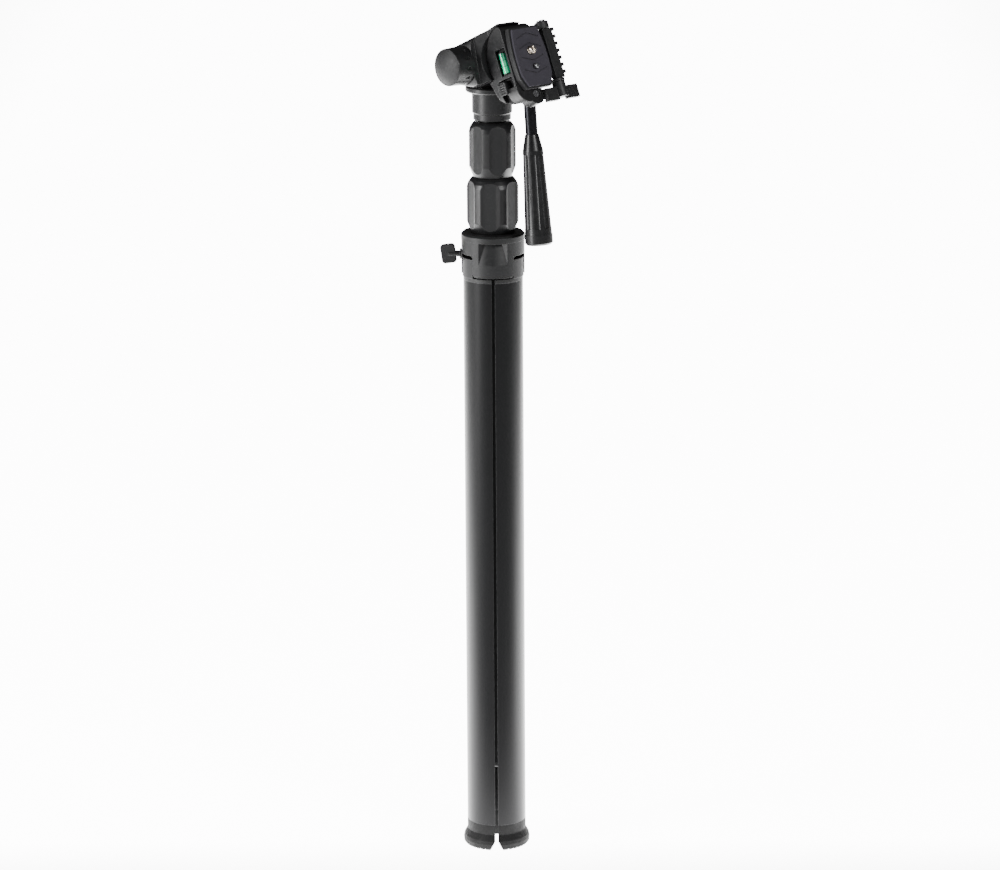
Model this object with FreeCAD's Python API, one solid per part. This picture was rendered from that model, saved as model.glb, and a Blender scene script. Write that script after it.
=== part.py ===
"""Folded tripod with a telescoping centre column and a tilting pan head, in millimetres.

The tripod stands on three closed legs that together make one round column.  +Z is up and the
origin is on the column's axis at floor level.  A gap between two legs faces -Y.
Azimuths are counted from -Y towards +X.
Head parts are drawn in a head frame (x out to the camera plate, y away from the tilt knob) and
then turned by HEAD_YAW.  Parts of the camera plate are drawn in a plate frame, which lies level
(x along the plate, y across it, z out of it) and is then laid over by PLATE_TILT.
"""
import FreeCAD, Part
import math
import os

from FreeCAD import Placement, Rotation, Vector

# ---- driving sizes: legs -------------------------------------------------------------------
LEG_LENGTH = 469.2
LEG_OUTER_R = 24.7
LEG_WALL = 1.5
LEG_GAP = 2.6
LEG_COUNT = 3
LEG_FIRST_AZIMUTH = 60.0
LEG_BORE_GAP = 0.9
LEG_SPREAD_ROOM = 1.4
FOOT_HEIGHT = 21.7
FOOT_SKIRT_TOP = 13.0
FOOT_FLARE = 3.3
# how far in from the flare, and at what height, the foot's side passes
FOOT_PROFILE = [(1.6, 0.0), (0.3, 1.6), (0.0, 5.0), (0.6, 8.0)]
FOOT_PLUG_DEPTH = 16.0
FOOT_MOUTH_HALF = 5.3
FOOT_MOUTH_TOP = 7.6
FOOT_MOUTH_STEPS = 8
FOOT_TEETH = 9
FOOT_TEETH_SPAN = 76.0
FOOT_TOOTH = (2.2, 1.8, 5.0)
BRACKET_STRIP = 3.1
BRACKET_PLUG_DEPTH = 20.0
KNUCKLE_WIDTH = 16.6
KNUCKLE_HEIGHT = 16.0
KNUCKLE_DEPTH = 9.6
KNUCKLE_ROUND = 5.0
PIN_R = 2.0
PIN_DROP = 5.6
PIN_INSET = 5.1
PIN_OVERHANG = 3.6

# ---- driving sizes: hub ---------------------------------------------------------------------
HUB_R = 26.1
HUB_TAB_DROP = 16.0
HUB_BLOCK_HEIGHT = 12.8
HUB_WALL_INNER_R = 17.6
HUB_BUSH_WALL = 2.0
HUB_SLOT_ABOVE = 3.0
HUB_SLOT_ROUND = 2.2
TAB_ROUND = 3.5
CAP_HEIGHT = 6.0
CAP_OVERHANG = 0.2
CAP_BEVEL = 1.6
CAP_LIP = 2.0
POCKET_HALF = 11.9
POCKET_FLOOR_HALF = 6.9
POCKET_DEPTH = 5.0
POCKET_HEIGHT = 17.8
WING_AZIMUTH = -95.0
WING_ABOVE_TABS = 15.6
WING_SHAFT_R = 2.6
WING_BOSS = (4.4, 6.1, 1.3)
WING_INSERT = (3.6, 4.6, 0.3)
WING_PLATE_GAP = 4.6
WING_PLATE = (12.4, 16.3, 4.0)
WING_PLATE_CORNER = 3.0
WING_PLATE_EDGE = 0.9
WING_LEAN = 8.0

# ---- driving sizes: column ------------------------------------------------------------------
INNER_TUBE_R = 11.5
TUBE_WALL = 1.2
TUBE_STEP_GAP = 0.3
OUTER_TUBE_LENGTH = 480.0
MIDDLE_TUBE_LENGTH = 470.0
INNER_TUBE_LENGTH = 460.0
END_PLUG = (4.0, 5.0, 1.0)
LOWER_COLLAR_R = 21.3
UPPER_COLLAR_R = 19.4
LOWER_COLLAR_HEIGHT = 45.8
UPPER_COLLAR_HEIGHT = 45.8
LOWER_COLLAR_TURN = -6.0
UPPER_COLLAR_TURN = 14.0
# how far in, and how far below the top, the rounded upper edge of a collar passes
COLLAR_CROWN = [(0.0, 8.0), (1.0, 4.8), (3.0, 1.8), (5.0, 0.0)]
COLLAR_TAIL = (3.3, 8.6)
COLLAR_RECESSES = 6
COLLAR_RECESS_DEPTH = 2.2
COLLAR_RECESS_OPEN = 0.376
COLLAR_RECESS_FLOOR = 0.225
COLLAR_RECESS_ARCH = 5.0
COLLAR_RECESS_PAST = 0.6
COLLAR_RECESS_ENDS = (2.4, 3.2)
COLLAR_NOSE = (4.0, 7.0)
COLLET_LENGTH = 14.0
COLLET_NOSE = (1.0, 3.0)
COLLET_SLOT = (1.2, 3.0)
TUBE_SUNK = 22.0
COLLAR_GAP = 0.4
TUBE_REVEAL = 1.6

# ---- driving sizes: head --------------------------------------------------------------------
HEAD_YAW = -48.0
BASE_RING = (15.5, 5.0)
BASE_R = 16.5
BASE_STEP = 0.8
BASE_HEIGHT = 17.6
BASE_ROOF = 5.0
TUBE_IN_BASE = 14.0
FLANGE_R = 21.8
FLANGE_HEIGHT = 5.0
FLANGE_BEVEL = 1.0
PAN_GAP = 0.3
PAN_BOLT_R = 4.0
PAN_BOLT_HEAD = (7.0, 3.0)
PAN_BOLT_ABOVE = 2.0
PAN_WASHER = (8.0, 1.6)
TILT_AXIS_UP = 20.0
NECK_R = 17.0
NECK_END = 32.0
NECK_END_INSET = 0.4
CHEEK_FACE = 20.2
FAR_FACE = 20.0
FAR_SHRINK = (2.0, 4.0)
HOOD_R = 29.3
HOOD_MIDDLE = 3.0
HOUSING_FOOT_GAP = 1.6
SEAM_R = 28.0
SEAM_CENTRE = (42.6, 10.0)
CREASE_FOOT = (16.6, -14.4)
CREASE_LEAN = 13.6
CREASE_BEVEL = (11.0, 6.8)
BELLY_LINE = [(10.8, -16.6), (23.8, -11.0)]
YOKE_WIDTH = 11.0
YOKE_AT = -1.0
YOKE_EYE_R = 12.4
YOKE_SLOT_STEPS = 8
YOKE_ARM_WIDTH = 20.0
TILT_RANGE = 96.0
TILT_BOLT_R = 4.0
TILT_BOLT_HEAD = (6.8, 3.6)
TILT_BOLT_IN_KNOB = 12.0
PLATE_TILT = 66.0

# ---- driving sizes: knob and handle ---------------------------------------------------------
KNOB_R = 16.0
KNOB_FACE_R = 15.0
KNOB_LENGTH = 16.5
KNOB_RIM = 0.6
KNOB_CAP_SUNK = 2.0
KNOB_DOME = 3.4
KNOB_NOTCHES = 12
KNOB_NOTCH = (1.7, 0.3, 9.0)
KNOB_NOTCH_FROM = 3.8
KNOB_NOTCH_OUT = 0.5
KNOB_GAP = 0.5
HANDLE_LEAN = 5.4
HANDLE_ACROSS = 9.0
HANDLE_AXIS_OFFSET = 32.7
HANDLE_SEAT = 12.0
HANDLE_ROD_R = 5.0
HANDLE_REACH = 148.0
GRIP_LENGTH = 82.0
GRIP_END_R = 11.2
GRIP_SHOULDER_R = 8.4
GRIP_SHOULDER = 13.0
GRIP_LIP = 0.6
GRIP_BORE_DEPTH = 20.0
GRIP_FLUTES = 8
GRIP_FLUTE_R = 4.5
GRIP_FLUTE_DEPTH = 0.8
GRIP_FLUTE_ENDS = (3.0, 5.0)
HANDLE_CAP_LENGTH = 8.6
HANDLE_CAP_R = 11.5
HANDLE_CAP_BEVEL = 1.6

# ---- driving sizes: platform -------------------------------------------------------------------
PLATFORM_HALF = 19.4
PLATFORM_TOP = -1.8
PLATFORM_FOOT = 38.0
PLATFORM_CROWN = 4.0
PLATFORM_FAR_CORNER = 9.0
PLATFORM_FOOT_CORNER = 12.0
# where the foot's outline leaves the seam and turns, in the plate frame
PLATFORM_SEAM_END = 11.5
PLATFORM_CHIN = [(12.6, -31.0), (27.5, -26.0), (34.0, -19.5), (36.5, -11.0)]
VIAL_R = 3.0
VIAL_LENGTH = 18.5
VIAL_AT = (2.4, -17.0, -9.8)
VIAL_POCKET_X = (-9.6, 12.0)
VIAL_POCKET_Z = (-15.0, -3.3)
VIAL_POCKET_DEPTH = 4.0
LEVER_PIVOT = 32.0
LEVER_LOW = -13.6
LEVER_BOSS_R = 8.8
LEVER_ARM_FROM = 23.5
LEVER_FRONT_FROM = 28.4
LEVER_TAB_X = (16.0, 27.0)
LEVER_TAB_Y = (-22.0, -15.2)
LEVER_TAB_Z = (-20.5, -11.5)
LEVER_TAB_ROUND = 2.0
LEVER_RIBS = 5
LEVER_RIB_GROOVE = (0.9, 0.8)
LEVER_OPENING_TOP = -4.0
LEVER_OPENING_FROM = 14.8
LEVER_SCREW_R = 1.5
LEVER_SCREW_DEPTH = 26.0
LEVER_SCREW_HEAD = (2.9, 1.6)
LEVER_COUNTERBORE = (3.4, 2.6)
SCREW_CROSS = (3.6, 0.7, 0.9)

# ---- driving sizes: camera plate and phone clamp -------------------------------------------------
PLATE_BASE = 4.8
PLATE_GAP = 0.4
PAD_THICKNESS = 2.2
PAD_TOP_HALF = 13.4
PAD_WIDE_HALF = 16.5
PAD_START = -21.0
PAD_END = 27.0
PAD_CORNER = 9.0
PAD_FOOT_INSET = 4.8
PAD_KNEE_INSET = 0.6
PAD_SWELL = 3.0
BASE_MARGIN = 1.6
DOVETAIL = (32.0, 21.0, 3.6)
# apex and rake of each V groove across the pad
CHEVRONS = [(-17.5, 4.2), (-9.0, 4.2), (5.7, -3.6), (16.4, -3.6)]
CHEVRON_HALF = 11.8
CHEVRON_GROOVE = (0.9, 0.7)
CAMERA_SCREW_R = 3.175
CAMERA_SCREW_UP = 4.0
CAMERA_SCREW_AT = -2.0
CAMERA_SCREW_HEAD = (6.5, 2.4)
CAMERA_SCREW_NECK_R = 2.6
CAMERA_SCREW_SLOT = (1.2, 1.0)
CAMERA_SCREW_BEVEL = 0.6
VIDEO_PIN_R = 2.0
VIDEO_PIN_UP = 3.2
VIDEO_PIN_AT = 11.5
VIDEO_PIN_HEAD = (3.0, 1.0)
VIDEO_PIN_SPRING = (2.9, 2.3, 2.8)
VIDEO_PIN_POCKET = (3.4, 2.8)
VIDEO_PIN_TIP = 0.9
SPINDLE_R = 2.0
SPINDLE_ACROSS = 22.5
SPINDLE_UP = 2.0
SPINDLE_HEAD = (3.6, 1.2)
BOSS_R = 5.8
UPPER_BOSS = (-24.5, -18.5)
LOWER_LUG = (24.1, 26.4)
LUG_ROOT = 8.0
LUG_ROUND = 1.2
JAW_KNUCKLE_R = 3.6
JAW_ACROSS = (-3.8, 6.0)
JAW_UP = (-1.4, 3.6)
JAW_TOOTH = 2.4
JAW_TEETH = 7
JAW_TOOTH_SHARE = 0.45
WING_NUT_R = 5.5
WING_NUT_LENGTH = 12.4
WING_NUT_REACH = 17.5
WING_NUT_WING = (3.6, 10.8)
WING_NUT_HALF = 2.0
WING_NUT_RIBS = 4
WING_NUT_RIB = (1.3, 0.7)
WING_NUT_RIB_FROM = 7.4
WING_NUT_RIB_STEP = 2.7

# ---- named fits and drawing allowances ---------------------------------------------------------
RUN_FIT = 0.05
FREE_GAP = 0.4
CUT_PAST = 2.0
FAR = 80.0
GRAIN = 0.01

# ---- places worked out from the sizes ---------------------------------------------------------
MIDDLE_TUBE_R = INNER_TUBE_R + TUBE_STEP_GAP + TUBE_WALL
OUTER_TUBE_R = MIDDLE_TUBE_R + TUBE_STEP_GAP + TUBE_WALL
TUBE_BORE = OUTER_TUBE_R + RUN_FIT
BUSH_R = TUBE_BORE + HUB_BUSH_WALL
LEG_INNER_R = OUTER_TUBE_R + LEG_BORE_GAP
LEG_TOP = FOOT_HEIGHT + LEG_LENGTH
STRIP_TOP = LEG_TOP + BRACKET_STRIP
TAB_BOTTOM = STRIP_TOP + LEG_SPREAD_ROOM
KNUCKLE_TOP = STRIP_TOP + KNUCKLE_HEIGHT
SLOT_TOP = KNUCKLE_TOP + HUB_SLOT_ABOVE
PIN_Z = KNUCKLE_TOP - PIN_DROP
PIN_RADIUS = HUB_R - PIN_INSET
HUB_BLOCK_BOTTOM = TAB_BOTTOM + HUB_TAB_DROP
HUB_TOP = HUB_BLOCK_BOTTOM + HUB_BLOCK_HEIGHT
CAP_TOP = HUB_TOP + CAP_HEIGHT
WING_Z = TAB_BOTTOM + WING_ABOVE_TABS
WING_PLATE_FROM = HUB_R + WING_PLATE_GAP
LOWER_COLLAR_Z = CAP_TOP + COLLAR_GAP
LOWER_COLLAR_TOP = LOWER_COLLAR_Z + LOWER_COLLAR_HEIGHT
UPPER_COLLAR_Z = LOWER_COLLAR_TOP + COLLAR_GAP
UPPER_COLLAR_TOP = UPPER_COLLAR_Z + UPPER_COLLAR_HEIGHT
BASE_Z = UPPER_COLLAR_TOP + TUBE_REVEAL
BASE_TOP = BASE_Z + BASE_RING[1] + BASE_HEIGHT
FLANGE_Z = BASE_TOP + PAN_GAP
FLANGE_TOP = FLANGE_Z + FLANGE_HEIGHT
TILT_Z = FLANGE_TOP + TILT_AXIS_UP
KNOB_REAR = NECK_END + KNOB_GAP
KNOB_FRONT = KNOB_REAR + KNOB_LENGTH
PLATE_BOTTOM = PLATFORM_TOP + PLATE_GAP
PLATE_TOP = PLATE_BOTTOM + PLATE_BASE
PAD_TOP = PLATE_TOP + PAD_THICKNESS
TONGUE_BOTTOM = PLATE_BOTTOM - DOVETAIL[2]
PLATE_MIDDLE = (PAD_START + PAD_END) / 2
NUT_START = LOWER_LUG[1] + FREE_GAP

HEAD = Placement(Vector(0, 0, 0), Rotation(Vector(0, 0, 1), HEAD_YAW))
PLATE_FRAME = Placement(Vector(SEAM_CENTRE[0], 0, TILT_Z + SEAM_CENTRE[1]),
                        Rotation(Vector(0, 1, 0), PLATE_TILT))

X = Vector(1, 0, 0)
Y = Vector(0, 1, 0)
Z = Vector(0, 0, 1)


# ---- small shape helpers ---------------------------------------------------------------------
def cylinder(radius, length, base=Vector(), axis=Z):
    return Part.makeCylinder(radius, length, base, axis)


def ring(outer, inner, height, z):
    body = cylinder(outer, height, Vector(0, 0, z))
    return body.cut(cylinder(inner, height + 2 * CUT_PAST, Vector(0, 0, z - CUT_PAST)))


def box(x0, x1, y0, y1, z0, z1):
    return Part.makeBox(x1 - x0, y1 - y0, z1 - z0, Vector(x0, y0, z0))


def prism(points, vector):
    closed = points + [points[0]]
    return Part.Face(Part.makePolygon(closed)).extrude(vector)


def arc(start, middle, end):
    return Part.Arc(start, middle, end).toShape()


def line(start, end):
    return Part.LineSegment(start, end).toShape()


def outline(edges, vector):
    return Part.Face(Part.Wire(edges)).extrude(vector)


def revolve(profile, base=Vector(), axis=Z):
    """Turns a closed (radius, height) profile about an axis through base."""
    flat = [Vector(r, 0, h) for r, h in profile]
    solid = Part.Face(Part.makePolygon(flat + [flat[0]])).revolve(Vector(), Z, 360)
    solid.Placement = Placement(base, Rotation(Z, axis))
    return solid


def turned(shape, angle, axis=Z, centre=Vector()):
    copy = shape.copy()
    copy.rotate(centre, axis, angle)
    return copy


def fused(shapes):
    first = shapes[0]
    if len(shapes) == 1:
        return first
    return first.multiFuse(shapes[1:]).removeSplitter()


def direction(azimuth):
    angle = math.radians(azimuth)
    return Vector(math.sin(angle), -math.cos(angle), 0)


def polar(radius, azimuth, z):
    return direction(azimuth) * radius + Vector(0, 0, z)


def filleted(shape, radius, wanted):
    """Rounds every edge whose centre passes the test `wanted`."""
    return shape.makeFillet(radius, [edge for edge in shape.Edges if wanted(edge)])


def around_legs(shape):
    """One copy of a shape for each leg."""
    return [turned(shape, leg_azimuth(i)) for i in range(LEG_COUNT)]


def leg_azimuth(i):
    return LEG_FIRST_AZIMUTH + i * 360.0 / LEG_COUNT


NODES = {}


def keep(name, shape, *frames):
    """Places a shape through its frames and keeps it under its node name."""
    placed = shape.copy()
    for frame in frames:
        placed.Placement = frame.multiply(placed.Placement)
    NODES[name] = placed


# ---- legs --------------------------------------------------------------------------------------
def sector(outer, inner, inset, z0, z1):
    """One leg's share of a round column about the front direction, its sides moved in by inset."""
    half = 180.0 / LEG_COUNT
    tip = inset / math.sin(math.radians(half))
    reach = 4 * outer
    corners = [polar(tip, 0, z0)] + [polar(tip, 0, z0) + direction(side) * reach
                                     for side in (-half, 0, half)]
    wedge = prism(corners, Vector(0, 0, z1 - z0))
    return ring(outer, inner, z1 - z0, z0).common(wedge)


def leg_tube():
    skin = sector(LEG_OUTER_R, LEG_INNER_R, LEG_GAP / 2, FOOT_HEIGHT, LEG_TOP)
    return skin.cut(leg_plug(FOOT_HEIGHT - CUT_PAST, LEG_TOP + CUT_PAST))


def leg_plug(z0, z1):
    """The part of a foot or bracket that is pressed into the leg tube."""
    return sector(LEG_OUTER_R - LEG_WALL, LEG_INNER_R + LEG_WALL, LEG_GAP / 2 + LEG_WALL, z0, z1)


def leg_bracket():
    strip = sector(LEG_OUTER_R, LEG_INNER_R, LEG_GAP / 2, LEG_TOP, STRIP_TOP)
    plug = leg_plug(LEG_TOP - BRACKET_PLUG_DEPTH, LEG_TOP)
    half = KNUCKLE_WIDTH / 2
    back = KNUCKLE_DEPTH - HUB_R
    knuckle = box(-half, half, -HUB_R, back, STRIP_TOP, KNUCKLE_TOP)
    knuckle = filleted(knuckle, KNUCKLE_ROUND, lambda edge: edge.CenterOfMass.y > back - GRAIN
                       and edge.CenterOfMass.z > KNUCKLE_TOP - GRAIN)
    knuckle = knuckle.common(cylinder(HUB_R - FREE_GAP, KNUCKLE_TOP))
    pin_hole = cylinder(PIN_R + RUN_FIT, KNUCKLE_WIDTH + 2 * CUT_PAST,
                        Vector(-half - CUT_PAST, -PIN_RADIUS, PIN_Z), X)
    return fused([strip, plug, knuckle]).cut(pin_hole)


def leg_foot():
    side = LEG_GAP / 2
    flare = LEG_OUTER_R + FOOT_FLARE
    upper = sector(LEG_OUTER_R, LEG_INNER_R, side, FOOT_SKIRT_TOP, FOOT_HEIGHT)
    profile = [(LEG_INNER_R, 0.0)] + [(flare - inset, height) for inset, height in FOOT_PROFILE]
    profile += [(LEG_OUTER_R, FOOT_SKIRT_TOP), (LEG_INNER_R, FOOT_SKIRT_TOP)]
    skirt = revolve(profile).common(sector(flare + CUT_PAST, LEG_INNER_R, side, 0, FOOT_SKIRT_TOP))
    foot = fused([upper, skirt, leg_plug(FOOT_HEIGHT, FOOT_HEIGHT + FOOT_PLUG_DEPTH)])
    mouth = foot_mouth()
    foot = foot.cut(mouth).cut(mouth.mirror(Vector(), X))
    return foot.cut(Part.makeCompound(foot_teeth()))


def foot_mouth():
    """A stepped cut that opens the slit between two feet into an upturned V."""
    points = [Vector(CUT_PAST, 0, -CUT_PAST), Vector(-FOOT_MOUTH_HALF, 0, -CUT_PAST)]
    for i in range(FOOT_MOUTH_STEPS):
        across = FOOT_MOUTH_HALF + (LEG_GAP / 2 - FOOT_MOUTH_HALF) * i / FOOT_MOUTH_STEPS
        low = FOOT_MOUTH_TOP * i / FOOT_MOUTH_STEPS
        if i > 0:
            points.append(Vector(-across, 0, low))
        points.append(Vector(-across, 0, low + FOOT_MOUTH_TOP / FOOT_MOUTH_STEPS))
    points.append(Vector(CUT_PAST, 0, FOOT_MOUTH_TOP))
    return turned(prism(points, Vector(0, -2 * LEG_OUTER_R, 0)), 180.0 / LEG_COUNT)


def foot_teeth():
    """Notches round the lower rim of a foot."""
    width, height, length = FOOT_TOOTH
    rim = LEG_OUTER_R + FOOT_FLARE
    notch = prism([Vector(-width / 2, 0, -CUT_PAST / 4), Vector(width / 2, 0, -CUT_PAST / 4),
                   Vector(0, 0, height)], Vector(0, -length - CUT_PAST, 0))
    notch.translate(Vector(0, length - rim, 0))
    step = FOOT_TEETH_SPAN / (FOOT_TEETH - 1)
    return [turned(notch, step * i - FOOT_TEETH_SPAN / 2) for i in range(FOOT_TEETH)]


def make_legs():
    tube, bracket, foot = leg_tube(), leg_bracket(), leg_foot()
    for i in range(LEG_COUNT):
        keep(f"leg_tube_{i + 1}", turned(tube, leg_azimuth(i)))
        keep(f"leg_bracket_{i + 1}", turned(bracket, leg_azimuth(i)))
        keep(f"leg_foot_{i + 1}", turned(foot, leg_azimuth(i)))


# ---- hub ---------------------------------------------------------------------------------------
def wing_bore(radius, inner, outer):
    """A round bar along the lock screw's axis, between two distances from the column's axis."""
    return cylinder(radius, outer - inner, polar(inner, WING_AZIMUTH, WING_Z), direction(WING_AZIMUTH))


def wing_seat(radius, within, beyond):
    """The part of that bar that lies round the hub's outer wall."""
    return wing_bore(radius, HUB_R - within, HUB_R + beyond)


def leg_slot():
    """The mouth between two tabs for a knuckle: round at its top, flared at the tabs' corners."""
    half = KNUCKLE_WIDTH / 2 + FREE_GAP
    wide = half + TAB_ROUND
    low, high = TAB_BOTTOM - CUT_PAST, SLOT_TOP
    tab_dip = TAB_ROUND * (1 - math.sqrt(0.5))
    slot_dip = HUB_SLOT_ROUND * (1 - math.sqrt(0.5))
    inside = CUT_PAST - BUSH_R

    def p(x, z):
        return Vector(x, inside, z)

    edges = [line(p(-wide, low), p(wide, low)), line(p(wide, low), p(wide, TAB_BOTTOM)),
             arc(p(wide, TAB_BOTTOM), p(half + tab_dip, TAB_BOTTOM + tab_dip),
                 p(half, TAB_BOTTOM + TAB_ROUND)),
             line(p(half, TAB_BOTTOM + TAB_ROUND), p(half, high - HUB_SLOT_ROUND)),
             arc(p(half, high - HUB_SLOT_ROUND), p(half - slot_dip, high - slot_dip),
                 p(half - HUB_SLOT_ROUND, high)),
             line(p(half - HUB_SLOT_ROUND, high), p(HUB_SLOT_ROUND - half, high)),
             arc(p(HUB_SLOT_ROUND - half, high), p(slot_dip - half, high - slot_dip),
                 p(-half, high - HUB_SLOT_ROUND)),
             line(p(-half, high - HUB_SLOT_ROUND), p(-half, TAB_BOTTOM + TAB_ROUND)),
             arc(p(-half, TAB_BOTTOM + TAB_ROUND), p(-half - tab_dip, TAB_BOTTOM + tab_dip),
                 p(-wide, TAB_BOTTOM)),
             line(p(-wide, TAB_BOTTOM), p(-wide, low))]
    return outline(edges, Vector(0, -HUB_R, 0))


def hinge_pin():
    length = KNUCKLE_WIDTH + 2 * PIN_OVERHANG
    return cylinder(PIN_R, length, Vector(-length / 2, -PIN_RADIUS, PIN_Z), X)


def hub_pocket():
    """The sunk panel in a tab: deep at the top, running out to nothing at the bottom."""
    mouth = Vector(POCKET_HALF, -math.sqrt(HUB_R ** 2 - POCKET_HALF ** 2), 0)
    floor_r = HUB_R - POCKET_DEPTH
    root = Vector(POCKET_FLOOR_HALF, -math.sqrt(floor_r ** 2 - POCKET_FLOOR_HALF ** 2), 0)
    outer = mouth + (mouth - root) * CUT_PAST
    low = HUB_TOP - POCKET_HEIGHT
    lift = Vector(0, 0, low)
    section = [root, outer, Vector(-outer.x, outer.y, 0), Vector(-root.x, root.y, 0)]
    panel = prism([point + lift for point in section], Vector(0, 0, POCKET_HEIGHT + CUT_PAST))
    slope = POCKET_DEPTH / POCKET_HEIGHT
    core = revolve([(0, low - CUT_PAST), (HUB_R + slope * CUT_PAST, low - CUT_PAST),
                    (floor_r - 2 * slope * CUT_PAST, HUB_TOP + 2 * CUT_PAST),
                    (0, HUB_TOP + 2 * CUT_PAST)])
    return panel.cut(core)


def hub_body():
    skirt = ring(HUB_R, HUB_WALL_INNER_R, HUB_TAB_DROP, TAB_BOTTOM)
    block = ring(HUB_R, BUSH_R, HUB_BLOCK_HEIGHT, HUB_BLOCK_BOTTOM)
    boss = wing_seat(*WING_BOSS)
    body = fused([block, skirt, boss])
    for tool in around_legs(leg_slot()) + around_legs(hinge_pin()):
        body = body.cut(tool)
    for pocket in around_legs(hub_pocket()):
        body = body.cut(turned(pocket, 180.0 / LEG_COUNT).cut(boss))
    return body.cut(wing_bore(WING_SHAFT_R + RUN_FIT, 0, FAR)).cut(wing_seat(*WING_INSERT))


def make_hub():
    keep("hub_body", hub_body())
    lip = CAP_TOP - CAP_LIP
    rim = HUB_R + CAP_OVERHANG
    cap = revolve([(BUSH_R, HUB_TOP), (rim, HUB_TOP), (rim, CAP_TOP - CAP_BEVEL),
                   (rim - CAP_BEVEL, CAP_TOP), (TUBE_BORE + FREE_GAP, CAP_TOP),
                   (TUBE_BORE + FREE_GAP, lip), (BUSH_R, lip)])
    keep("hub_cap", cap)
    bush = ring(BUSH_R, TUBE_BORE, lip - HUB_BLOCK_BOTTOM, HUB_BLOCK_BOTTOM)
    screw_way = wing_bore(WING_SHAFT_R + RUN_FIT, 0, FAR)
    keep("column_bush", bush.cut(screw_way))
    keep("leg_hinge_pins", Part.makeCompound(around_legs(hinge_pin())))
    keep("lock_screw_nut", wing_seat(*WING_INSERT).cut(screw_way))


def make_wing_screw():
    long, tall, thick = WING_PLATE
    tip = OUTER_TUBE_R + FREE_GAP
    shaft = cylinder(WING_SHAFT_R, WING_PLATE_FROM + long / 2 - tip, Vector(0, -tip, 0), -Y)
    plate = box(-thick / 2, thick / 2, -WING_PLATE_FROM - long, -WING_PLATE_FROM, -tall / 2, tall / 2)
    plate = filleted(plate, WING_PLATE_CORNER, lambda edge: abs(edge.CenterOfMass.x) < GRAIN)
    plate = filleted(plate, WING_PLATE_EDGE,
                     lambda edge: abs(abs(edge.CenterOfMass.x) - thick / 2) < GRAIN)
    plate = turned(plate, WING_LEAN, X, Vector(0, -WING_PLATE_FROM - long / 2, 0))
    screw = fused([shaft, plate])
    screw.translate(Vector(0, 0, WING_Z))
    keep("column_lock_screw", turned(screw, WING_AZIMUTH))


# ---- centre column ---------------------------------------------------------------------------
def collar_recess(radius, z, height):
    """A shallow grip groove with a flat floor, sloping sides and an arched upper end."""
    open_half, floor_half = radius * COLLAR_RECESS_OPEN, radius * COLLAR_RECESS_FLOOR
    floor_y = -radius + COLLAR_RECESS_DEPTH
    edge_y = -math.sqrt(radius ** 2 - open_half ** 2)
    past = (open_half - floor_half) * COLLAR_RECESS_PAST
    slope = (edge_y - floor_y) / (open_half - floor_half)
    rim = Vector(open_half + past, edge_y + slope * past, z)
    front = -radius - CUT_PAST
    section = [Vector(-floor_half, floor_y, z), Vector(floor_half, floor_y, z), rim,
               Vector(rim.x, front, z), Vector(-rim.x, front, z), Vector(-rim.x, rim.y, z)]
    groove = prism(section, Vector(0, 0, height))
    low, high = z + COLLAR_RECESS_ENDS[0], z + height - COLLAR_RECESS_ENDS[1]
    spring = high - COLLAR_RECESS_ARCH

    def p(x, level):
        return Vector(x, 0, level)

    side = rim.x
    window = outline([line(p(-side, low), p(side, low)), line(p(side, low), p(side, spring)),
                      arc(p(side, spring), p(0, high), p(-side, spring)),
                      line(p(-side, spring), p(-side, low))], Vector(0, 2 * front, 0))
    return groove.common(window)


def collar(radius, height, z, turn, bore, tail_bore):
    top = z + height
    tail_in, tail_up = COLLAR_TAIL
    nose_thin, nose_thick = COLLAR_NOSE
    profile = [(tail_bore, z), (radius - tail_in, z), (radius, z + tail_up)]
    profile += [(radius - inset, top - drop) for inset, drop in COLLAR_CROWN]
    profile += [(bore, top), (bore, top - nose_thin), (tail_bore, top - nose_thick)]
    body = revolve(profile)
    recess = collar_recess(radius, z, height)
    for i in range(COLLAR_RECESSES):
        body = body.cut(turned(recess, turn + i * 360.0 / COLLAR_RECESSES))
    return body


def collet(inner, outer, z):
    """A split grip sleeve with four slots and a tapered nose."""
    thin, nose = COLLET_NOSE
    top = z + COLLET_LENGTH
    sleeve = revolve([(inner, z), (outer, z), (outer, top - nose), (inner + thin, top), (inner, top)])
    width, start = COLLET_SLOT
    slot = box(-width / 2, width / 2, -outer - CUT_PAST, outer + CUT_PAST, z + start, top + CUT_PAST)
    return sleeve.cut(slot).cut(turned(slot, 90))


def tube(outer, length, top):
    return ring(outer, outer - TUBE_WALL, length, top - length)


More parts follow.
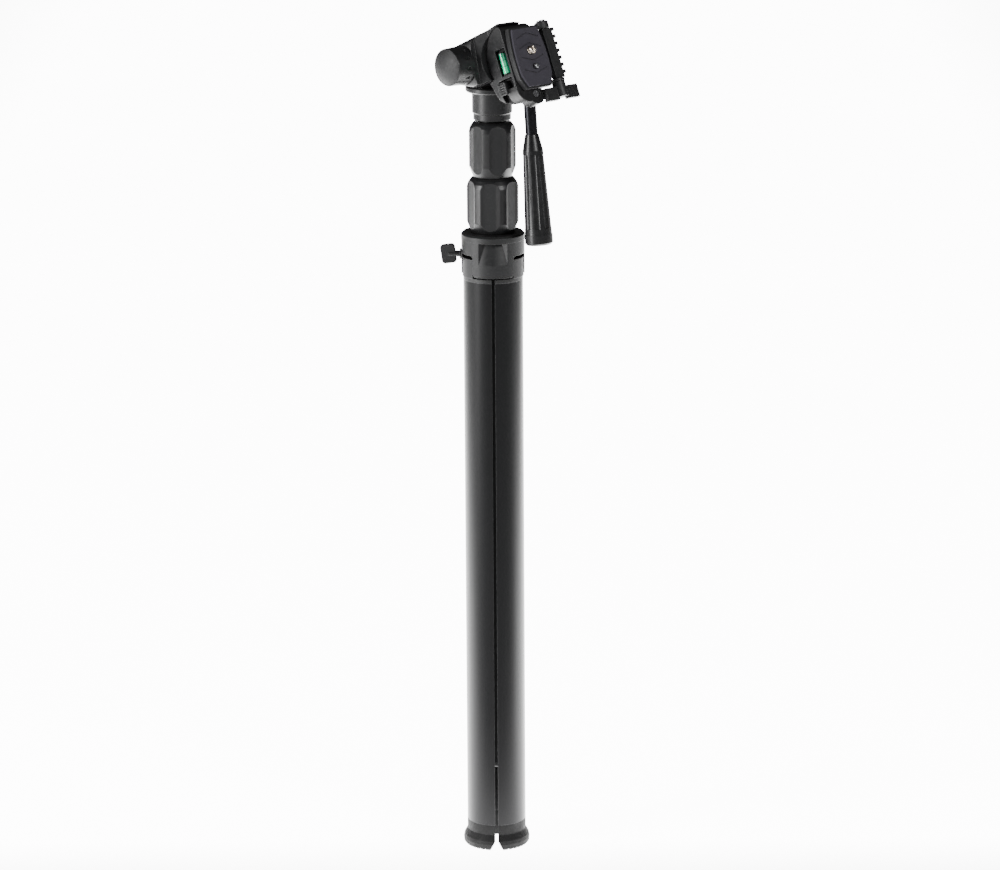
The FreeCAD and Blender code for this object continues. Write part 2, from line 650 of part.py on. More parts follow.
def make_column():
    outer_end = LOWER_COLLAR_TOP - TUBE_SUNK
    middle_end = UPPER_COLLAR_TOP - TUBE_SUNK
    keep("column_outer_tube", tube(OUTER_TUBE_R, OUTER_TUBE_LENGTH, outer_end))
    keep("column_middle_tube", tube(MIDDLE_TUBE_R, MIDDLE_TUBE_LENGTH, middle_end))
    keep("column_inner_tube", tube(INNER_TUBE_R, INNER_TUBE_LENGTH, BASE_Z + TUBE_IN_BASE))
    bottom = outer_end - OUTER_TUBE_LENGTH
    below, inside, bevel = END_PLUG
    inner = OUTER_TUBE_R - TUBE_WALL
    plug = revolve([(0, bottom - below), (OUTER_TUBE_R - bevel, bottom - below),
                    (OUTER_TUBE_R, bottom - below + bevel), (OUTER_TUBE_R, bottom), (inner, bottom),
                    (inner, bottom + inside), (0, bottom + inside)])
    keep("column_end_plug", plug)
    keep("lower_collet", collet(MIDDLE_TUBE_R + RUN_FIT, OUTER_TUBE_R, outer_end))
    keep("upper_collet", collet(INNER_TUBE_R + RUN_FIT, MIDDLE_TUBE_R, middle_end))
    keep("lower_collar", collar(LOWER_COLLAR_R, LOWER_COLLAR_HEIGHT, LOWER_COLLAR_Z, LOWER_COLLAR_TURN,
                                MIDDLE_TUBE_R + FREE_GAP, OUTER_TUBE_R + FREE_GAP))
    keep("upper_collar", collar(UPPER_COLLAR_R, UPPER_COLLAR_HEIGHT, UPPER_COLLAR_Z, UPPER_COLLAR_TURN,
                                INNER_TUBE_R + FREE_GAP, MIDDLE_TUBE_R + FREE_GAP))


# ---- pan base and yoke -------------------------------------------------------------------------
def tilt_bar(radius, y0, y1):
    """A round bar along the tilt axis, in the head frame."""
    return cylinder(radius, y1 - y0, Vector(0, y0, TILT_Z), Y)


def make_pan_base():
    ring_r, ring_h = BASE_RING
    shoulder = BASE_Z + ring_h
    roof = BASE_TOP - BASE_ROOF
    tube_end = BASE_Z + TUBE_IN_BASE
    bore = PAN_BOLT_R + RUN_FIT
    keep("pan_base", revolve([(INNER_TUBE_R, BASE_Z), (ring_r, BASE_Z), (ring_r, shoulder),
                              (BASE_R, shoulder + BASE_STEP), (BASE_R, BASE_TOP), (bore, BASE_TOP),
                              (bore, roof), (INNER_TUBE_R - TUBE_WALL, roof),
                              (INNER_TUBE_R - TUBE_WALL, tube_end), (INNER_TUBE_R, tube_end)]))
    flange = revolve([(0, FLANGE_Z), (FLANGE_R - FLANGE_BEVEL, FLANGE_Z),
                      (FLANGE_R, FLANGE_Z + FLANGE_BEVEL), (FLANGE_R, FLANGE_TOP - FLANGE_BEVEL),
                      (FLANGE_R - FLANGE_BEVEL, FLANGE_TOP), (0, FLANGE_TOP)])
    y0 = -YOKE_AT - YOKE_WIDTH / 2
    y1 = y0 + YOKE_WIDTH
    arm = box(-YOKE_ARM_WIDTH / 2, YOKE_ARM_WIDTH / 2, y0, y1, FLANGE_TOP - FLANGE_BEVEL, TILT_Z)
    yoke = fused([flange, arm, tilt_bar(YOKE_EYE_R, y0, y1)])
    bolt_top = FLANGE_TOP + PAN_BOLT_ABOVE
    washer_r, washer_h = PAN_WASHER
    washer_z = roof - PAN_GAP - washer_h
    shank = cylinder(PAN_BOLT_R, bolt_top - washer_z, Vector(0, 0, washer_z))
    keep("pan_yoke", yoke.cut(tilt_bar(TILT_BOLT_R + RUN_FIT, -FAR, FAR)).cut(shank), HEAD)
    head_r, head_h = PAN_BOLT_HEAD
    keep("pan_bolt", fused([shank, cylinder(head_r, head_h, Vector(0, 0, washer_z - head_h))]), HEAD)
    keep("pan_washer", ring(washer_r, PAN_BOLT_R, washer_h, washer_z), HEAD)


# ---- tilting housing ---------------------------------------------------------------------------
def belt(r_neck, r_hood, across):
    """A closed belt round the tilt axis and the seam centre, in a plane at `across`."""
    cx, cz = SEAM_CENTRE
    lean = math.atan2(cz, cx)
    open_angle = math.acos((r_neck - r_hood) / math.hypot(cx, cz))
    upper, lower = lean + open_angle, lean - open_angle

    def at(centre, radius, angle):
        return Vector(centre[0] + radius * math.cos(angle), -across,
                      TILT_Z + centre[1] + radius * math.sin(angle))

    axis, seam = (0.0, 0.0), (cx, cz)
    neck_top, neck_low = at(axis, r_neck, upper), at(axis, r_neck, lower)
    hood_top, hood_low = at(seam, r_hood, upper), at(seam, r_hood, lower)
    return Part.Wire([arc(neck_low, at(axis, r_neck, lean + math.pi), neck_top),
                      line(neck_top, hood_top), arc(hood_top, at(seam, r_hood, lean), hood_low),
                      line(hood_low, neck_low)])


def neck_circle(radius, across):
    circle = Part.Circle(Vector(0, -across, TILT_Z), Vector(0, -1, 0), radius)
    return Part.Wire([circle.toShape()])


def crease_cutter():
    """Bevels the near cheek from a straight crease down to its flat face."""
    length, rise = CREASE_BEVEL
    points = [Vector(0, -CHEEK_FACE - rise, 0), Vector(length, -CHEEK_FACE, 0),
              Vector(FAR, -CHEEK_FACE, 0), Vector(FAR, -FAR, 0), Vector(0, -FAR, 0)]
    tool = prism(points, Vector(0, 0, 2 * FAR))
    tool.translate(Vector(0, 0, -FAR))
    tool = turned(tool, -CREASE_LEAN, Y)
    tool.translate(Vector(CREASE_FOOT[0], 0, TILT_Z + CREASE_FOOT[1]))
    return tool


def yoke_slot():
    """The room that the yoke needs in the housing over the whole tilt."""
    half = YOKE_WIDTH / 2 + FREE_GAP
    y0, y1 = -YOKE_AT - half, -YOKE_AT + half
    wide = YOKE_ARM_WIDTH / 2 + FREE_GAP
    room = [tilt_bar(YOKE_EYE_R + FREE_GAP, y0, y1)]
    for i in range(YOKE_SLOT_STEPS + 1):
        arm = box(-wide, wide, y0, y1, TILT_Z - FAR, TILT_Z)
        room.append(turned(arm, i * TILT_RANGE / YOKE_SLOT_STEPS, Y, Vector(0, 0, TILT_Z)))
    return fused(room)


def hexagon(across_r, y0, y1):
    corners = [Vector(across_r * math.cos(math.radians(60 * i)), y0,
                      TILT_Z + across_r * math.sin(math.radians(60 * i))) for i in range(6)]
    return prism(corners, Vector(0, y1 - y0, 0))


def tilt_housing():
    neck_shrink, hood_shrink = FAR_SHRINK
    near = Part.makeLoft([belt(NECK_R, HOOD_R, CHEEK_FACE), belt(NECK_R, HOOD_R, HOOD_MIDDLE)],
                         True, True)
    far = Part.makeLoft([belt(NECK_R, HOOD_R, HOOD_MIDDLE),
                         belt(NECK_R - neck_shrink, HOOD_R - hood_shrink, -FAR_FACE)], True, True)
    neck = Part.makeLoft([neck_circle(NECK_R - NECK_END_INSET, NECK_END),
                          belt(NECK_R, HOOD_R, CHEEK_FACE)], True, True)
    body = fused([near, far, neck])
    bed = cylinder(SEAM_R, 2 * FAR, Vector(0, -FAR, 0), Y)
    front = box(-FAR, FAR, -FAR, FAR, PLATFORM_TOP - PLATE_GAP, FAR)
    for tool in (bed, front):
        tool.Placement = PLATE_FRAME
    under = prism([Vector(x, -FAR, z) for x, z in BELLY_LINE]
                  + [Vector(2 * FAR, -FAR, BELLY_LINE[1][1]), Vector(2 * FAR, -FAR, -FAR),
                     Vector(BELLY_LINE[0][0], -FAR, -FAR)], Vector(0, 2 * FAR, 0))
    under.translate(Vector(0, 0, TILT_Z))
    below = box(-FAR, 2 * FAR, -FAR, FAR, TILT_Z - 2 * FAR, FLANGE_TOP + HOUSING_FOOT_GAP)
    for tool in (bed, front, under, yoke_slot(), crease_cutter(), below):
        body = body.cut(tool)
    head_r, head_h = TILT_BOLT_HEAD
    body = body.cut(tilt_bar(TILT_BOLT_R, -FAR, FAR))
    return body.cut(hexagon(head_r, FAR_FACE - head_h, FAR))


def make_tilt_housing():
    keep("tilt_housing", tilt_housing(), HEAD)
    head_r, head_h = TILT_BOLT_HEAD
    shank = tilt_bar(TILT_BOLT_R, -NECK_END - TILT_BOLT_IN_KNOB, FAR_FACE - head_h)
    keep("tilt_bolt", fused([shank, hexagon(head_r, FAR_FACE - head_h, FAR_FACE)]), HEAD)


# ---- tilt knob -----------------------------------------------------------------------------------
def knob_notch():
    """A tapering grip groove along the knob's side, pointing at its face."""
    wide, narrow, length = KNOB_NOTCH
    notch = Part.makeCone(wide, narrow, length)
    notch.translate(Vector(0, KNOB_R + KNOB_NOTCH_OUT, KNOB_REAR + KNOB_NOTCH_FROM))
    return notch


def make_knob():
    base = Vector(0, 0, TILT_Z)
    bore = TILT_BOLT_R + RUN_FIT
    inner = KNOB_FACE_R - KNOB_RIM
    seat = KNOB_FRONT - KNOB_CAP_SUNK
    body = revolve([(bore, KNOB_REAR), (KNOB_R - KNOB_RIM, KNOB_REAR), (KNOB_R, KNOB_REAR + KNOB_RIM),
                    (KNOB_FACE_R + KNOB_RIM / 2, KNOB_FRONT - KNOB_RIM), (KNOB_FACE_R, KNOB_FRONT),
                    (inner, KNOB_FRONT), (inner, seat), (bore, seat)])
    for i in range(KNOB_NOTCHES):
        body = body.cut(turned(knob_notch(), i * 360.0 / KNOB_NOTCHES))
    body.Placement = Placement(base, Rotation(Z, -Y))
    keep("tilt_knob", body, HEAD)
    dome_r = (inner ** 2 + KNOB_DOME ** 2) / (2 * KNOB_DOME)
    sphere = Part.makeSphere(dome_r, Vector(0, 0, KNOB_FRONT + KNOB_DOME - dome_r))
    cap = cylinder(inner, KNOB_CAP_SUNK + KNOB_DOME, Vector(0, 0, seat)).common(sphere)
    cap.Placement = Placement(base, Rotation(Z, -Y))
    keep("knob_cap", cap, HEAD)


# ---- pan handle ----------------------------------------------------------------------------------
def handle_frame():
    """Puts the handle's own axis, running down from its seat, into the head frame."""
    top = Vector(HANDLE_AXIS_OFFSET, HANDLE_ACROSS, TILT_Z)
    return Placement(top, Rotation(Y, 180.0 - HANDLE_LEAN))


def grip_flute(z0, z1):
    rise = math.degrees(math.atan2(GRIP_END_R - GRIP_SHOULDER_R, z1 - z0))
    start, end = GRIP_FLUTE_ENDS
    flute = cylinder(GRIP_FLUTE_R, z1 - z0 - start - end)
    flute.rotate(Vector(), Y, rise)
    out = GRIP_SHOULDER_R + GRIP_FLUTE_R - GRIP_FLUTE_DEPTH
    flute.translate(Vector(out, 0, z0 + start))
    return flute


def make_handle():
    frame = handle_frame()
    cap_start = HANDLE_REACH - HANDLE_CAP_LENGTH
    grip_start = cap_start - GRIP_LENGTH
    bore_end = grip_start + GRIP_BORE_DEPTH
    rod = cylinder(HANDLE_ROD_R, bore_end - HANDLE_SEAT, Vector(0, 0, HANDLE_SEAT))
    keep("handle_rod", rod, frame, HEAD)
    grip = revolve([(HANDLE_ROD_R, grip_start), (HANDLE_ROD_R + GRIP_LIP, grip_start),
                    (GRIP_SHOULDER_R, grip_start + GRIP_SHOULDER), (GRIP_END_R, cap_start),
                    (0, cap_start), (0, bore_end), (HANDLE_ROD_R, bore_end)])
    flute = grip_flute(grip_start + GRIP_SHOULDER, cap_start)
    for i in range(GRIP_FLUTES):
        grip = grip.cut(turned(flute, i * 360.0 / GRIP_FLUTES))
    keep("handle_grip", grip, frame, HEAD)
    cap = revolve([(0, cap_start), (HANDLE_CAP_R, cap_start),
                   (HANDLE_CAP_R, HANDLE_REACH - HANDLE_CAP_BEVEL),
                   (HANDLE_CAP_R - HANDLE_CAP_BEVEL, HANDLE_REACH), (0, HANDLE_REACH)])
    keep("handle_end_cap", cap, frame, HEAD)


# ---- platform ------------------------------------------------------------------------------------
def spindle_point(x):
    return Vector(x, SPINDLE_ACROSS, SPINDLE_UP)


def platform_block():
    """The D-shaped platform with its foot and rounded corners, drawn in the plate frame."""
    def p(x, z):
        return Vector(x, -PLATFORM_HALF, z)

    seam_end = p(PLATFORM_SEAM_END, -math.sqrt(SEAM_R ** 2 - PLATFORM_SEAM_END ** 2))
    rim = math.sqrt(SEAM_R ** 2 - PLATFORM_TOP ** 2)
    chin, jowl, cheek, lip = [p(x, z) for x, z in PLATFORM_CHIN]
    diagonal = SEAM_R * math.sqrt(0.5)
    edges = [arc(p(-rim, PLATFORM_TOP), p(-diagonal, -diagonal), seam_end), line(seam_end, chin),
             line(chin, jowl), arc(jowl, cheek, lip), line(lip, p(PLATFORM_FOOT, PLATFORM_TOP)),
             line(p(PLATFORM_FOOT, PLATFORM_TOP), p(-rim, PLATFORM_TOP))]
    body = outline(edges, Vector(0, 2 * PLATFORM_HALF, 0))
    body = filleted(body, PLATFORM_CROWN, lambda edge: edge.CenterOfMass.x < GRAIN - rim
                    and edge.CenterOfMass.z > PLATFORM_TOP - GRAIN)
    body = filleted(body, PLATFORM_FAR_CORNER, lambda edge: edge.CenterOfMass.z < -PLATFORM_FAR_CORNER
                    and edge.CenterOfMass.y > PLATFORM_HALF - GRAIN and edge.CenterOfMass.x < 0)
    reach = PLATFORM_FOOT_CORNER
    centre = Vector(PLATFORM_FOOT - reach, reach - PLATFORM_HALF, -FAR)
    corner = box(centre.x, centre.x + 2 * reach, centre.y - 2 * reach, centre.y, -FAR, FAR)
    return body.cut(corner.cut(cylinder(reach, 2 * FAR, centre)))


def wing_nut_room():
    """The space that the wing nut sweeps as it turns, in the plate frame."""
    return cylinder(WING_NUT_REACH + FREE_GAP, FAR, spindle_point(NUT_START - FREE_GAP), X)


def platform_body():
    long, wide, deep = DOVETAIL
    recess = box(PLATE_MIDDLE - long / 2 - FREE_GAP, PLATE_MIDDLE + long / 2 + FREE_GAP,
                 -wide / 2 - FREE_GAP, wide / 2 + FREE_GAP, TONGUE_BOTTOM - FREE_GAP, FAR)
    slot = yoke_slot()
    slot.Placement = PLATE_FRAME.inverse().multiply(slot.Placement)
    rod_hole = cylinder(HANDLE_ROD_R + RUN_FIT, FAR, Vector(0, 0, HANDLE_SEAT - FREE_GAP))
    rod_hole.Placement = PLATE_FRAME.inverse().multiply(handle_frame())
    screw = cylinder(LEVER_SCREW_R, LEVER_SCREW_DEPTH, Vector(LEVER_PIVOT, 0, -LEVER_SCREW_DEPTH))
    body = platform_block()
    for tool in (recess, wing_nut_room(), slot, rod_hole, screw, vial_pocket(), lever_room()):
        body = body.cut(tool)
    return body


def level_vial():
    x, y, z = VIAL_AT
    return cylinder(VIAL_R, VIAL_LENGTH, Vector(x - VIAL_LENGTH / 2, y, z), X)


def vial_pocket():
    pocket = box(VIAL_POCKET_X[0], VIAL_POCKET_X[1], -PLATFORM_HALF - CUT_PAST,
                 VIAL_POCKET_DEPTH - PLATFORM_HALF, VIAL_POCKET_Z[0], VIAL_POCKET_Z[1])
    return pocket.fuse(level_vial())


def lever_room():
    """The space in the platform's foot for the lever, open to the front and the near side."""
    low = LEVER_LOW - FREE_GAP
    front = box(LEVER_FRONT_FROM, FAR, -FAR, FAR, low, FAR)
    boss = cylinder(LEVER_BOSS_R + FREE_GAP, FAR, Vector(LEVER_PIVOT, 0, low))
    arm = box(LEVER_ARM_FROM - FREE_GAP, FAR, -FAR, 0, low, FAR)
    tab = box(LEVER_OPENING_FROM, FAR, -FAR, LEVER_TAB_Y[1] + FREE_GAP, LEVER_TAB_Z[0] - FREE_GAP,
              LEVER_OPENING_TOP)
    return fused([front, boss, arm, tab])


def release_lever():
    height = PLATFORM_TOP - LEVER_LOW
    boss = cylinder(LEVER_BOSS_R, height, Vector(LEVER_PIVOT, 0, LEVER_LOW))
    arm = platform_block().common(box(LEVER_ARM_FROM, FAR, -FAR, 0, LEVER_LOW, PLATFORM_TOP))
    tab = box(*LEVER_TAB_X, *LEVER_TAB_Y, *LEVER_TAB_Z)
    tab = filleted(tab, LEVER_TAB_ROUND, lambda edge: abs(edge.CenterOfMass.x - LEVER_TAB_X[0]) < GRAIN
                   and edge.CenterOfMass.y < LEVER_TAB_Y[1] - GRAIN)
    lever = fused([boss, arm, tab]).cut(wing_nut_room())
    width, depth = LEVER_RIB_GROOVE
    pitch = (LEVER_TAB_X[1] - LEVER_TAB_X[0]) / (LEVER_RIBS + 1)
    side = LEVER_TAB_Y[0]
    for i in range(LEVER_RIBS):
        x = LEVER_TAB_X[0] + pitch * (i + 1)
        lever = lever.cut(box(x - width / 2, x + width / 2, side - CUT_PAST, side + depth,
                              LEVER_TAB_Z[0] + LEVER_TAB_ROUND, LEVER_TAB_Z[1] - LEVER_TAB_ROUND / 2))
    bore_r, bore_deep = LEVER_COUNTERBORE
    lever = lever.cut(cylinder(bore_r, FAR, Vector(LEVER_PIVOT, 0, PLATFORM_TOP - bore_deep)))
    return lever.cut(cylinder(LEVER_SCREW_R + RUN_FIT, 2 * FAR, Vector(LEVER_PIVOT, 0, -FAR)))


def lever_screw():
    head_r, head_h = LEVER_SCREW_HEAD
    seat = PLATFORM_TOP - LEVER_COUNTERBORE[1] + FREE_GAP
    shank = cylinder(LEVER_SCREW_R, LEVER_SCREW_DEPTH + seat, Vector(LEVER_PIVOT, 0, -LEVER_SCREW_DEPTH))
    head = cylinder(head_r, head_h, Vector(LEVER_PIVOT, 0, seat))
    long, wide, deep = SCREW_CROSS
    floor = seat + head_h - deep
    cross = fused([box(-long / 2, long / 2, -wide / 2, wide / 2, floor, FAR),
                   box(-wide / 2, wide / 2, -long / 2, long / 2, floor, FAR)])
    cross.translate(Vector(LEVER_PIVOT, 0, 0))
    return fused([shank, head]).cut(cross)


def make_platform():
    frames = (PLATE_FRAME, HEAD)
    keep("platform_body", platform_body(), *frames)
    keep("level_vial", level_vial(), *frames)
    keep("lever_pivot_screw", lever_screw(), *frames)
    keep("release_lever", release_lever(), *frames)


# ---- camera plate ----------------------------------------------------------------------------------
def pad_outline(margin, z, height):
    """Barrel-sided outline with two cut corners at its lower end."""
    start, end = PAD_START - margin, PAD_END + margin
    top, wide = PAD_TOP_HALF + margin, PAD_WIDE_HALF + margin
    knee = end - PAD_CORNER
    foot, side = wide - PAD_FOOT_INSET, wide - PAD_KNEE_INSET
    swell = (start + knee) / 2 + PAD_SWELL

    def p(x, y):
        return Vector(x, y, z)

    edges = [line(p(start, -top), p(start, top)), arc(p(start, top), p(swell, wide), p(knee, side)),
             line(p(knee, side), p(end, foot)), line(p(end, foot), p(end, -foot)),
             line(p(end, -foot), p(knee, -side)), arc(p(knee, -side), p(swell, -wide), p(start, -top))]
    return outline(edges, Vector(0, 0, height))


def chevron(apex, rake):
    """One V groove across the pad."""
    width, depth = CHEVRON_GROOVE
    half = CHEVRON_HALF
    z = PAD_TOP - depth
    points = [Vector(apex, 0, z), Vector(apex + rake, half, z), Vector(apex + rake + width, half, z),
              Vector(apex + width, 0, z), Vector(apex + rake + width, -half, z),
              Vector(apex + rake, -half, z)]
    return prism(points, Vector(0, 0, depth + CUT_PAST))


def plate_lug(span, radius):
    """A rounded ear that carries the spindle at the plate's edge."""
    x0, x1 = span
    eye = cylinder(radius, x1 - x0, spindle_point(x0), X)
    eye = filleted(eye, LUG_ROUND * (x1 - x0) / (UPPER_BOSS[1] - UPPER_BOSS[0]),
                   lambda edge: abs(edge.CenterOfMass.x - x0) < GRAIN)
    root_x0 = max(x0, PAD_START - BASE_MARGIN)
    return [eye, box(root_x0, x1, LUG_ROOT, SPINDLE_ACROSS, PLATE_BOTTOM, PLATE_TOP)]


def screw_tool(radius, at, z0, z1):
    return cylinder(radius, z1 - z0, Vector(at, 0, z0))


def make_camera_plate():
    frames = (PLATE_FRAME, HEAD)
    long, wide, deep = DOVETAIL
    tongue = box(PLATE_MIDDLE - long / 2, PLATE_MIDDLE + long / 2, -wide / 2, wide / 2, TONGUE_BOTTOM,
                 PLATE_BOTTOM)
    base = pad_outline(BASE_MARGIN, PLATE_BOTTOM, PLATE_BASE)
    plate = fused([base, tongue] + plate_lug(UPPER_BOSS, BOSS_R) + plate_lug(LOWER_LUG, BOSS_R))
    head_r, head_h = CAMERA_SCREW_HEAD
    pocket_r, pocket_h = VIDEO_PIN_POCKET[0], VIDEO_PIN_POCKET[1] + VIDEO_PIN_HEAD[1] + FREE_GAP
    screw_way = screw_tool(CAMERA_SCREW_R + FREE_GAP, CAMERA_SCREW_AT, -FAR, FAR)
    pin_way = screw_tool(VIDEO_PIN_R + RUN_FIT, VIDEO_PIN_AT, -FAR, FAR)
    tools = [screw_way, pin_way,
             screw_tool(head_r + FREE_GAP, CAMERA_SCREW_AT, -FAR, TONGUE_BOTTOM + head_h + 2 * FREE_GAP),
             screw_tool(pocket_r, VIDEO_PIN_AT, TONGUE_BOTTOM, TONGUE_BOTTOM + pocket_h),
             cylinder(SPINDLE_R, 2 * FAR, spindle_point(-FAR), X),
             cylinder(JAW_KNUCKLE_R + FREE_GAP, LOWER_LUG[0] - UPPER_BOSS[1], spindle_point(UPPER_BOSS[1]), X)]
    for tool in tools:
        plate = plate.cut(tool)
    keep("plate_base", plate, *frames)
    pad = pad_outline(0.0, PLATE_TOP, PAD_THICKNESS)
    for apex, rake in CHEVRONS:
        pad = pad.cut(chevron(apex, rake))
    pad = pad.cut(screw_way)
    pad = pad.cut(screw_tool(VIDEO_PIN_R + FREE_GAP, VIDEO_PIN_AT, PLATE_TOP, FAR))
    keep("plate_pad", pad, *frames)
    keep("camera_screw", camera_screw(), *frames)
    make_video_pin(frames)
    make_phone_clamp(frames)


def camera_screw():
    head_r, head_h = CAMERA_SCREW_HEAD
    foot = TONGUE_BOTTOM + FREE_GAP
    tip = PAD_TOP + CAMERA_SCREW_UP
    slot_w, slot_d = CAMERA_SCREW_SLOT
    neck = screw_tool(CAMERA_SCREW_NECK_R, CAMERA_SCREW_AT, foot, PAD_TOP)
    shank = screw_tool(CAMERA_SCREW_R, CAMERA_SCREW_AT, PAD_TOP, tip)
    shank = shank.makeChamfer(CAMERA_SCREW_BEVEL, [edge for edge in shank.Edges
                                                   if edge.CenterOfMass.z > tip - GRAIN])
    screw = fused([shank, neck, screw_tool(head_r, CAMERA_SCREW_AT, foot, foot + head_h)])
    x0, x1 = CAMERA_SCREW_AT - head_r - CUT_PAST, CAMERA_SCREW_AT + head_r + CUT_PAST
    screw = screw.cut(box(x0, x1, -slot_w / 2, slot_w / 2, foot - CUT_PAST, foot + slot_d))
    return screw.cut(box(x0, x1, -slot_w / 2, slot_w / 2, tip - slot_d, FAR))


def make_video_pin(frames):
    head_r, head_h = VIDEO_PIN_HEAD
    foot = TONGUE_BOTTOM + VIDEO_PIN_POCKET[1]
    tip = PAD_TOP + VIDEO_PIN_UP
    shank = screw_tool(VIDEO_PIN_R, VIDEO_PIN_AT, foot, tip)
    shank = filleted(shank, VIDEO_PIN_TIP, lambda edge: edge.CenterOfMass.z > tip - GRAIN)
    keep("video_pin", fused([shank, screw_tool(head_r, VIDEO_PIN_AT, foot, foot + head_h)]), *frames)
    outer, inner, height = VIDEO_PIN_SPRING
    spring = ring(outer, inner, height, TONGUE_BOTTOM)
    spring.translate(Vector(VIDEO_PIN_AT, 0, 0))
    keep("video_pin_spring", spring, *frames)


# ---- phone clamp -----------------------------------------------------------------------------------
def make_phone_clamp(frames):
    head_r, head_h = SPINDLE_HEAD
    nut_end = NUT_START + WING_NUT_LENGTH
    spindle = fused([cylinder(SPINDLE_R, nut_end - UPPER_BOSS[0], spindle_point(UPPER_BOSS[0]), X),
                     cylinder(head_r, head_h, spindle_point(UPPER_BOSS[0] - head_h), X)])
    keep("clamp_spindle", spindle, *frames)
    keep("phone_jaw", phone_jaw(), *frames)
    keep("clamp_wing_nut", wing_nut(), *frames)


def phone_jaw():
    x0, x1 = UPPER_BOSS[1] + FREE_GAP, LOWER_LUG[0] - FREE_GAP
    y0, y1 = SPINDLE_ACROSS + JAW_ACROSS[0], SPINDLE_ACROSS + JAW_ACROSS[1]
    z0, z1 = SPINDLE_UP + JAW_UP[0], SPINDLE_UP + JAW_UP[1]
    pieces = [cylinder(JAW_KNUCKLE_R, x1 - x0, spindle_point(x0), X), box(x0, x1, y0, y1, z0, z1)]
    pitch = (x1 - x0) / JAW_TEETH
    for i in range(JAW_TEETH):
        start = x0 + pitch * i
        pieces.append(box(start, start + pitch * JAW_TOOTH_SHARE, y1 - GRAIN, y1 + JAW_TOOTH, z0, z1))
    return fused(pieces).cut(cylinder(SPINDLE_R + RUN_FIT, 2 * FAR, spindle_point(-FAR), X))


def wing_nut():
    pieces = [cylinder(WING_NUT_R, WING_NUT_LENGTH, spindle_point(NUT_START), X)]
    x0 = NUT_START + WING_NUT_WING[0]
    x1 = x0 + WING_NUT_WING[1]
    low, high = SPINDLE_UP - WING_NUT_HALF, SPINDLE_UP + WING_NUT_HALF
    rib_width, rib_height = WING_NUT_RIB
    root = WING_NUT_R - CUT_PAST / 2
    for hand, rib_low, rib_high in ((1, high, high + rib_height), (-1, low - rib_height, low)):
        sides = sorted((SPINDLE_ACROSS + hand * root, SPINDLE_ACROSS + hand * WING_NUT_REACH))
        pieces.append(box(x0, x1, sides[0], sides[1], low, high))
        for i in range(WING_NUT_RIBS):
            middle = SPINDLE_ACROSS + hand * (WING_NUT_RIB_FROM + WING_NUT_RIB_STEP * i)
            pieces.append(box(x0, x1, middle - rib_width / 2, middle + rib_width / 2,
                              rib_low, rib_high))
    return fused(pieces).cut(cylinder(SPINDLE_R + RUN_FIT, 2 * FAR, spindle_point(-FAR), X))


def write_nodes():
    os.makedirs("parts", exist_ok=True)
    for name, shape in NODES.items():
        shape.exportStep(f"parts/{name}.step")


make_legs()
make_hub()
make_wing_screw()
make_column()
make_pan_base()
make_tilt_housing()
make_knob()
make_handle()
make_platform()
make_camera_plate()
write_nodes()
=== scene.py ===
"""Looks for a folded tripod with a pan and tilt head: finishes, small visible details, floor,
lights and camera.  All lengths are in metres in the model's own frame, +Z up, floor at z = 0."""
import math

import bmesh
import bpy
from mathutils import Matrix, Vector


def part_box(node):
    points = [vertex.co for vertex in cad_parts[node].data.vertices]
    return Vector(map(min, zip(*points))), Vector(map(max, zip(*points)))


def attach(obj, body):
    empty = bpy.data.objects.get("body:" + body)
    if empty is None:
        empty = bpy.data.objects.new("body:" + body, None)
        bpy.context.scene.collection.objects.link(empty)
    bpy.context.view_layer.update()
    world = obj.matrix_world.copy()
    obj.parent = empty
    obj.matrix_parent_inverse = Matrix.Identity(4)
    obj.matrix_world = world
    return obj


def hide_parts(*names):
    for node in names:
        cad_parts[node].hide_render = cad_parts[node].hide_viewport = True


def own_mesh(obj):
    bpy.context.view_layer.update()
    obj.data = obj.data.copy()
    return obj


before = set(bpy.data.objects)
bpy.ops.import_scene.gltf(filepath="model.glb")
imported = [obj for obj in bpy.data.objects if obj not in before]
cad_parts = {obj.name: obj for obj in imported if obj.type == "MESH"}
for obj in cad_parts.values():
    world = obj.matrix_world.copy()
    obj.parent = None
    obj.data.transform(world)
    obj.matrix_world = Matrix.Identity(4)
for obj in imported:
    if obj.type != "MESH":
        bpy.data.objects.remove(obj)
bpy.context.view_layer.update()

bl_info = {
    "name": "Folded tripod looks",
    "version": (1, 0, 0),
    "blender": (4, 5, 0),
    "location": "3D View > Sidebar > Tripod",
    "description": "Finishes, details and studio for a folded tripod",
    "category": "Object",
}

MM = 0.001

TUBES = ("leg_tube_1", "leg_tube_2", "leg_tube_3", "column_outer_tube", "column_middle_tube",
         "column_inner_tube")
HUB_MOULDINGS = ("leg_bracket_1", "leg_bracket_2", "leg_bracket_3", "hub_body", "hub_cap",
                 "column_lock_screw")
COLLARS = ("lower_collar", "upper_collar")
HEAD_MOULDINGS = ("pan_base", "pan_yoke", "tilt_housing", "platform_body", "tilt_knob",
                  "release_lever")
PLATE_MOULDINGS = ("plate_base", "phone_jaw", "clamp_wing_nut")
INNER_MOULDINGS = ("column_bush", "column_end_plug", "lower_collet", "upper_collet")
FEET = ("leg_foot_1", "leg_foot_2", "leg_foot_3")
STEEL_PARTS = ("leg_hinge_pins", "pan_bolt", "pan_washer", "tilt_bolt", "lever_pivot_screw",
               "clamp_spindle", "video_pin", "video_pin_spring")

# turned rings and a rolled thread come from a wave texture, which turns through this many radians
# in each metre at a scale of 1
WAVE_RATE = 20.0
STEEL_RINGS = 1.885 * MM
ROD_RINGS = 2.513 * MM
THREAD_PITCH = 1.27 * MM

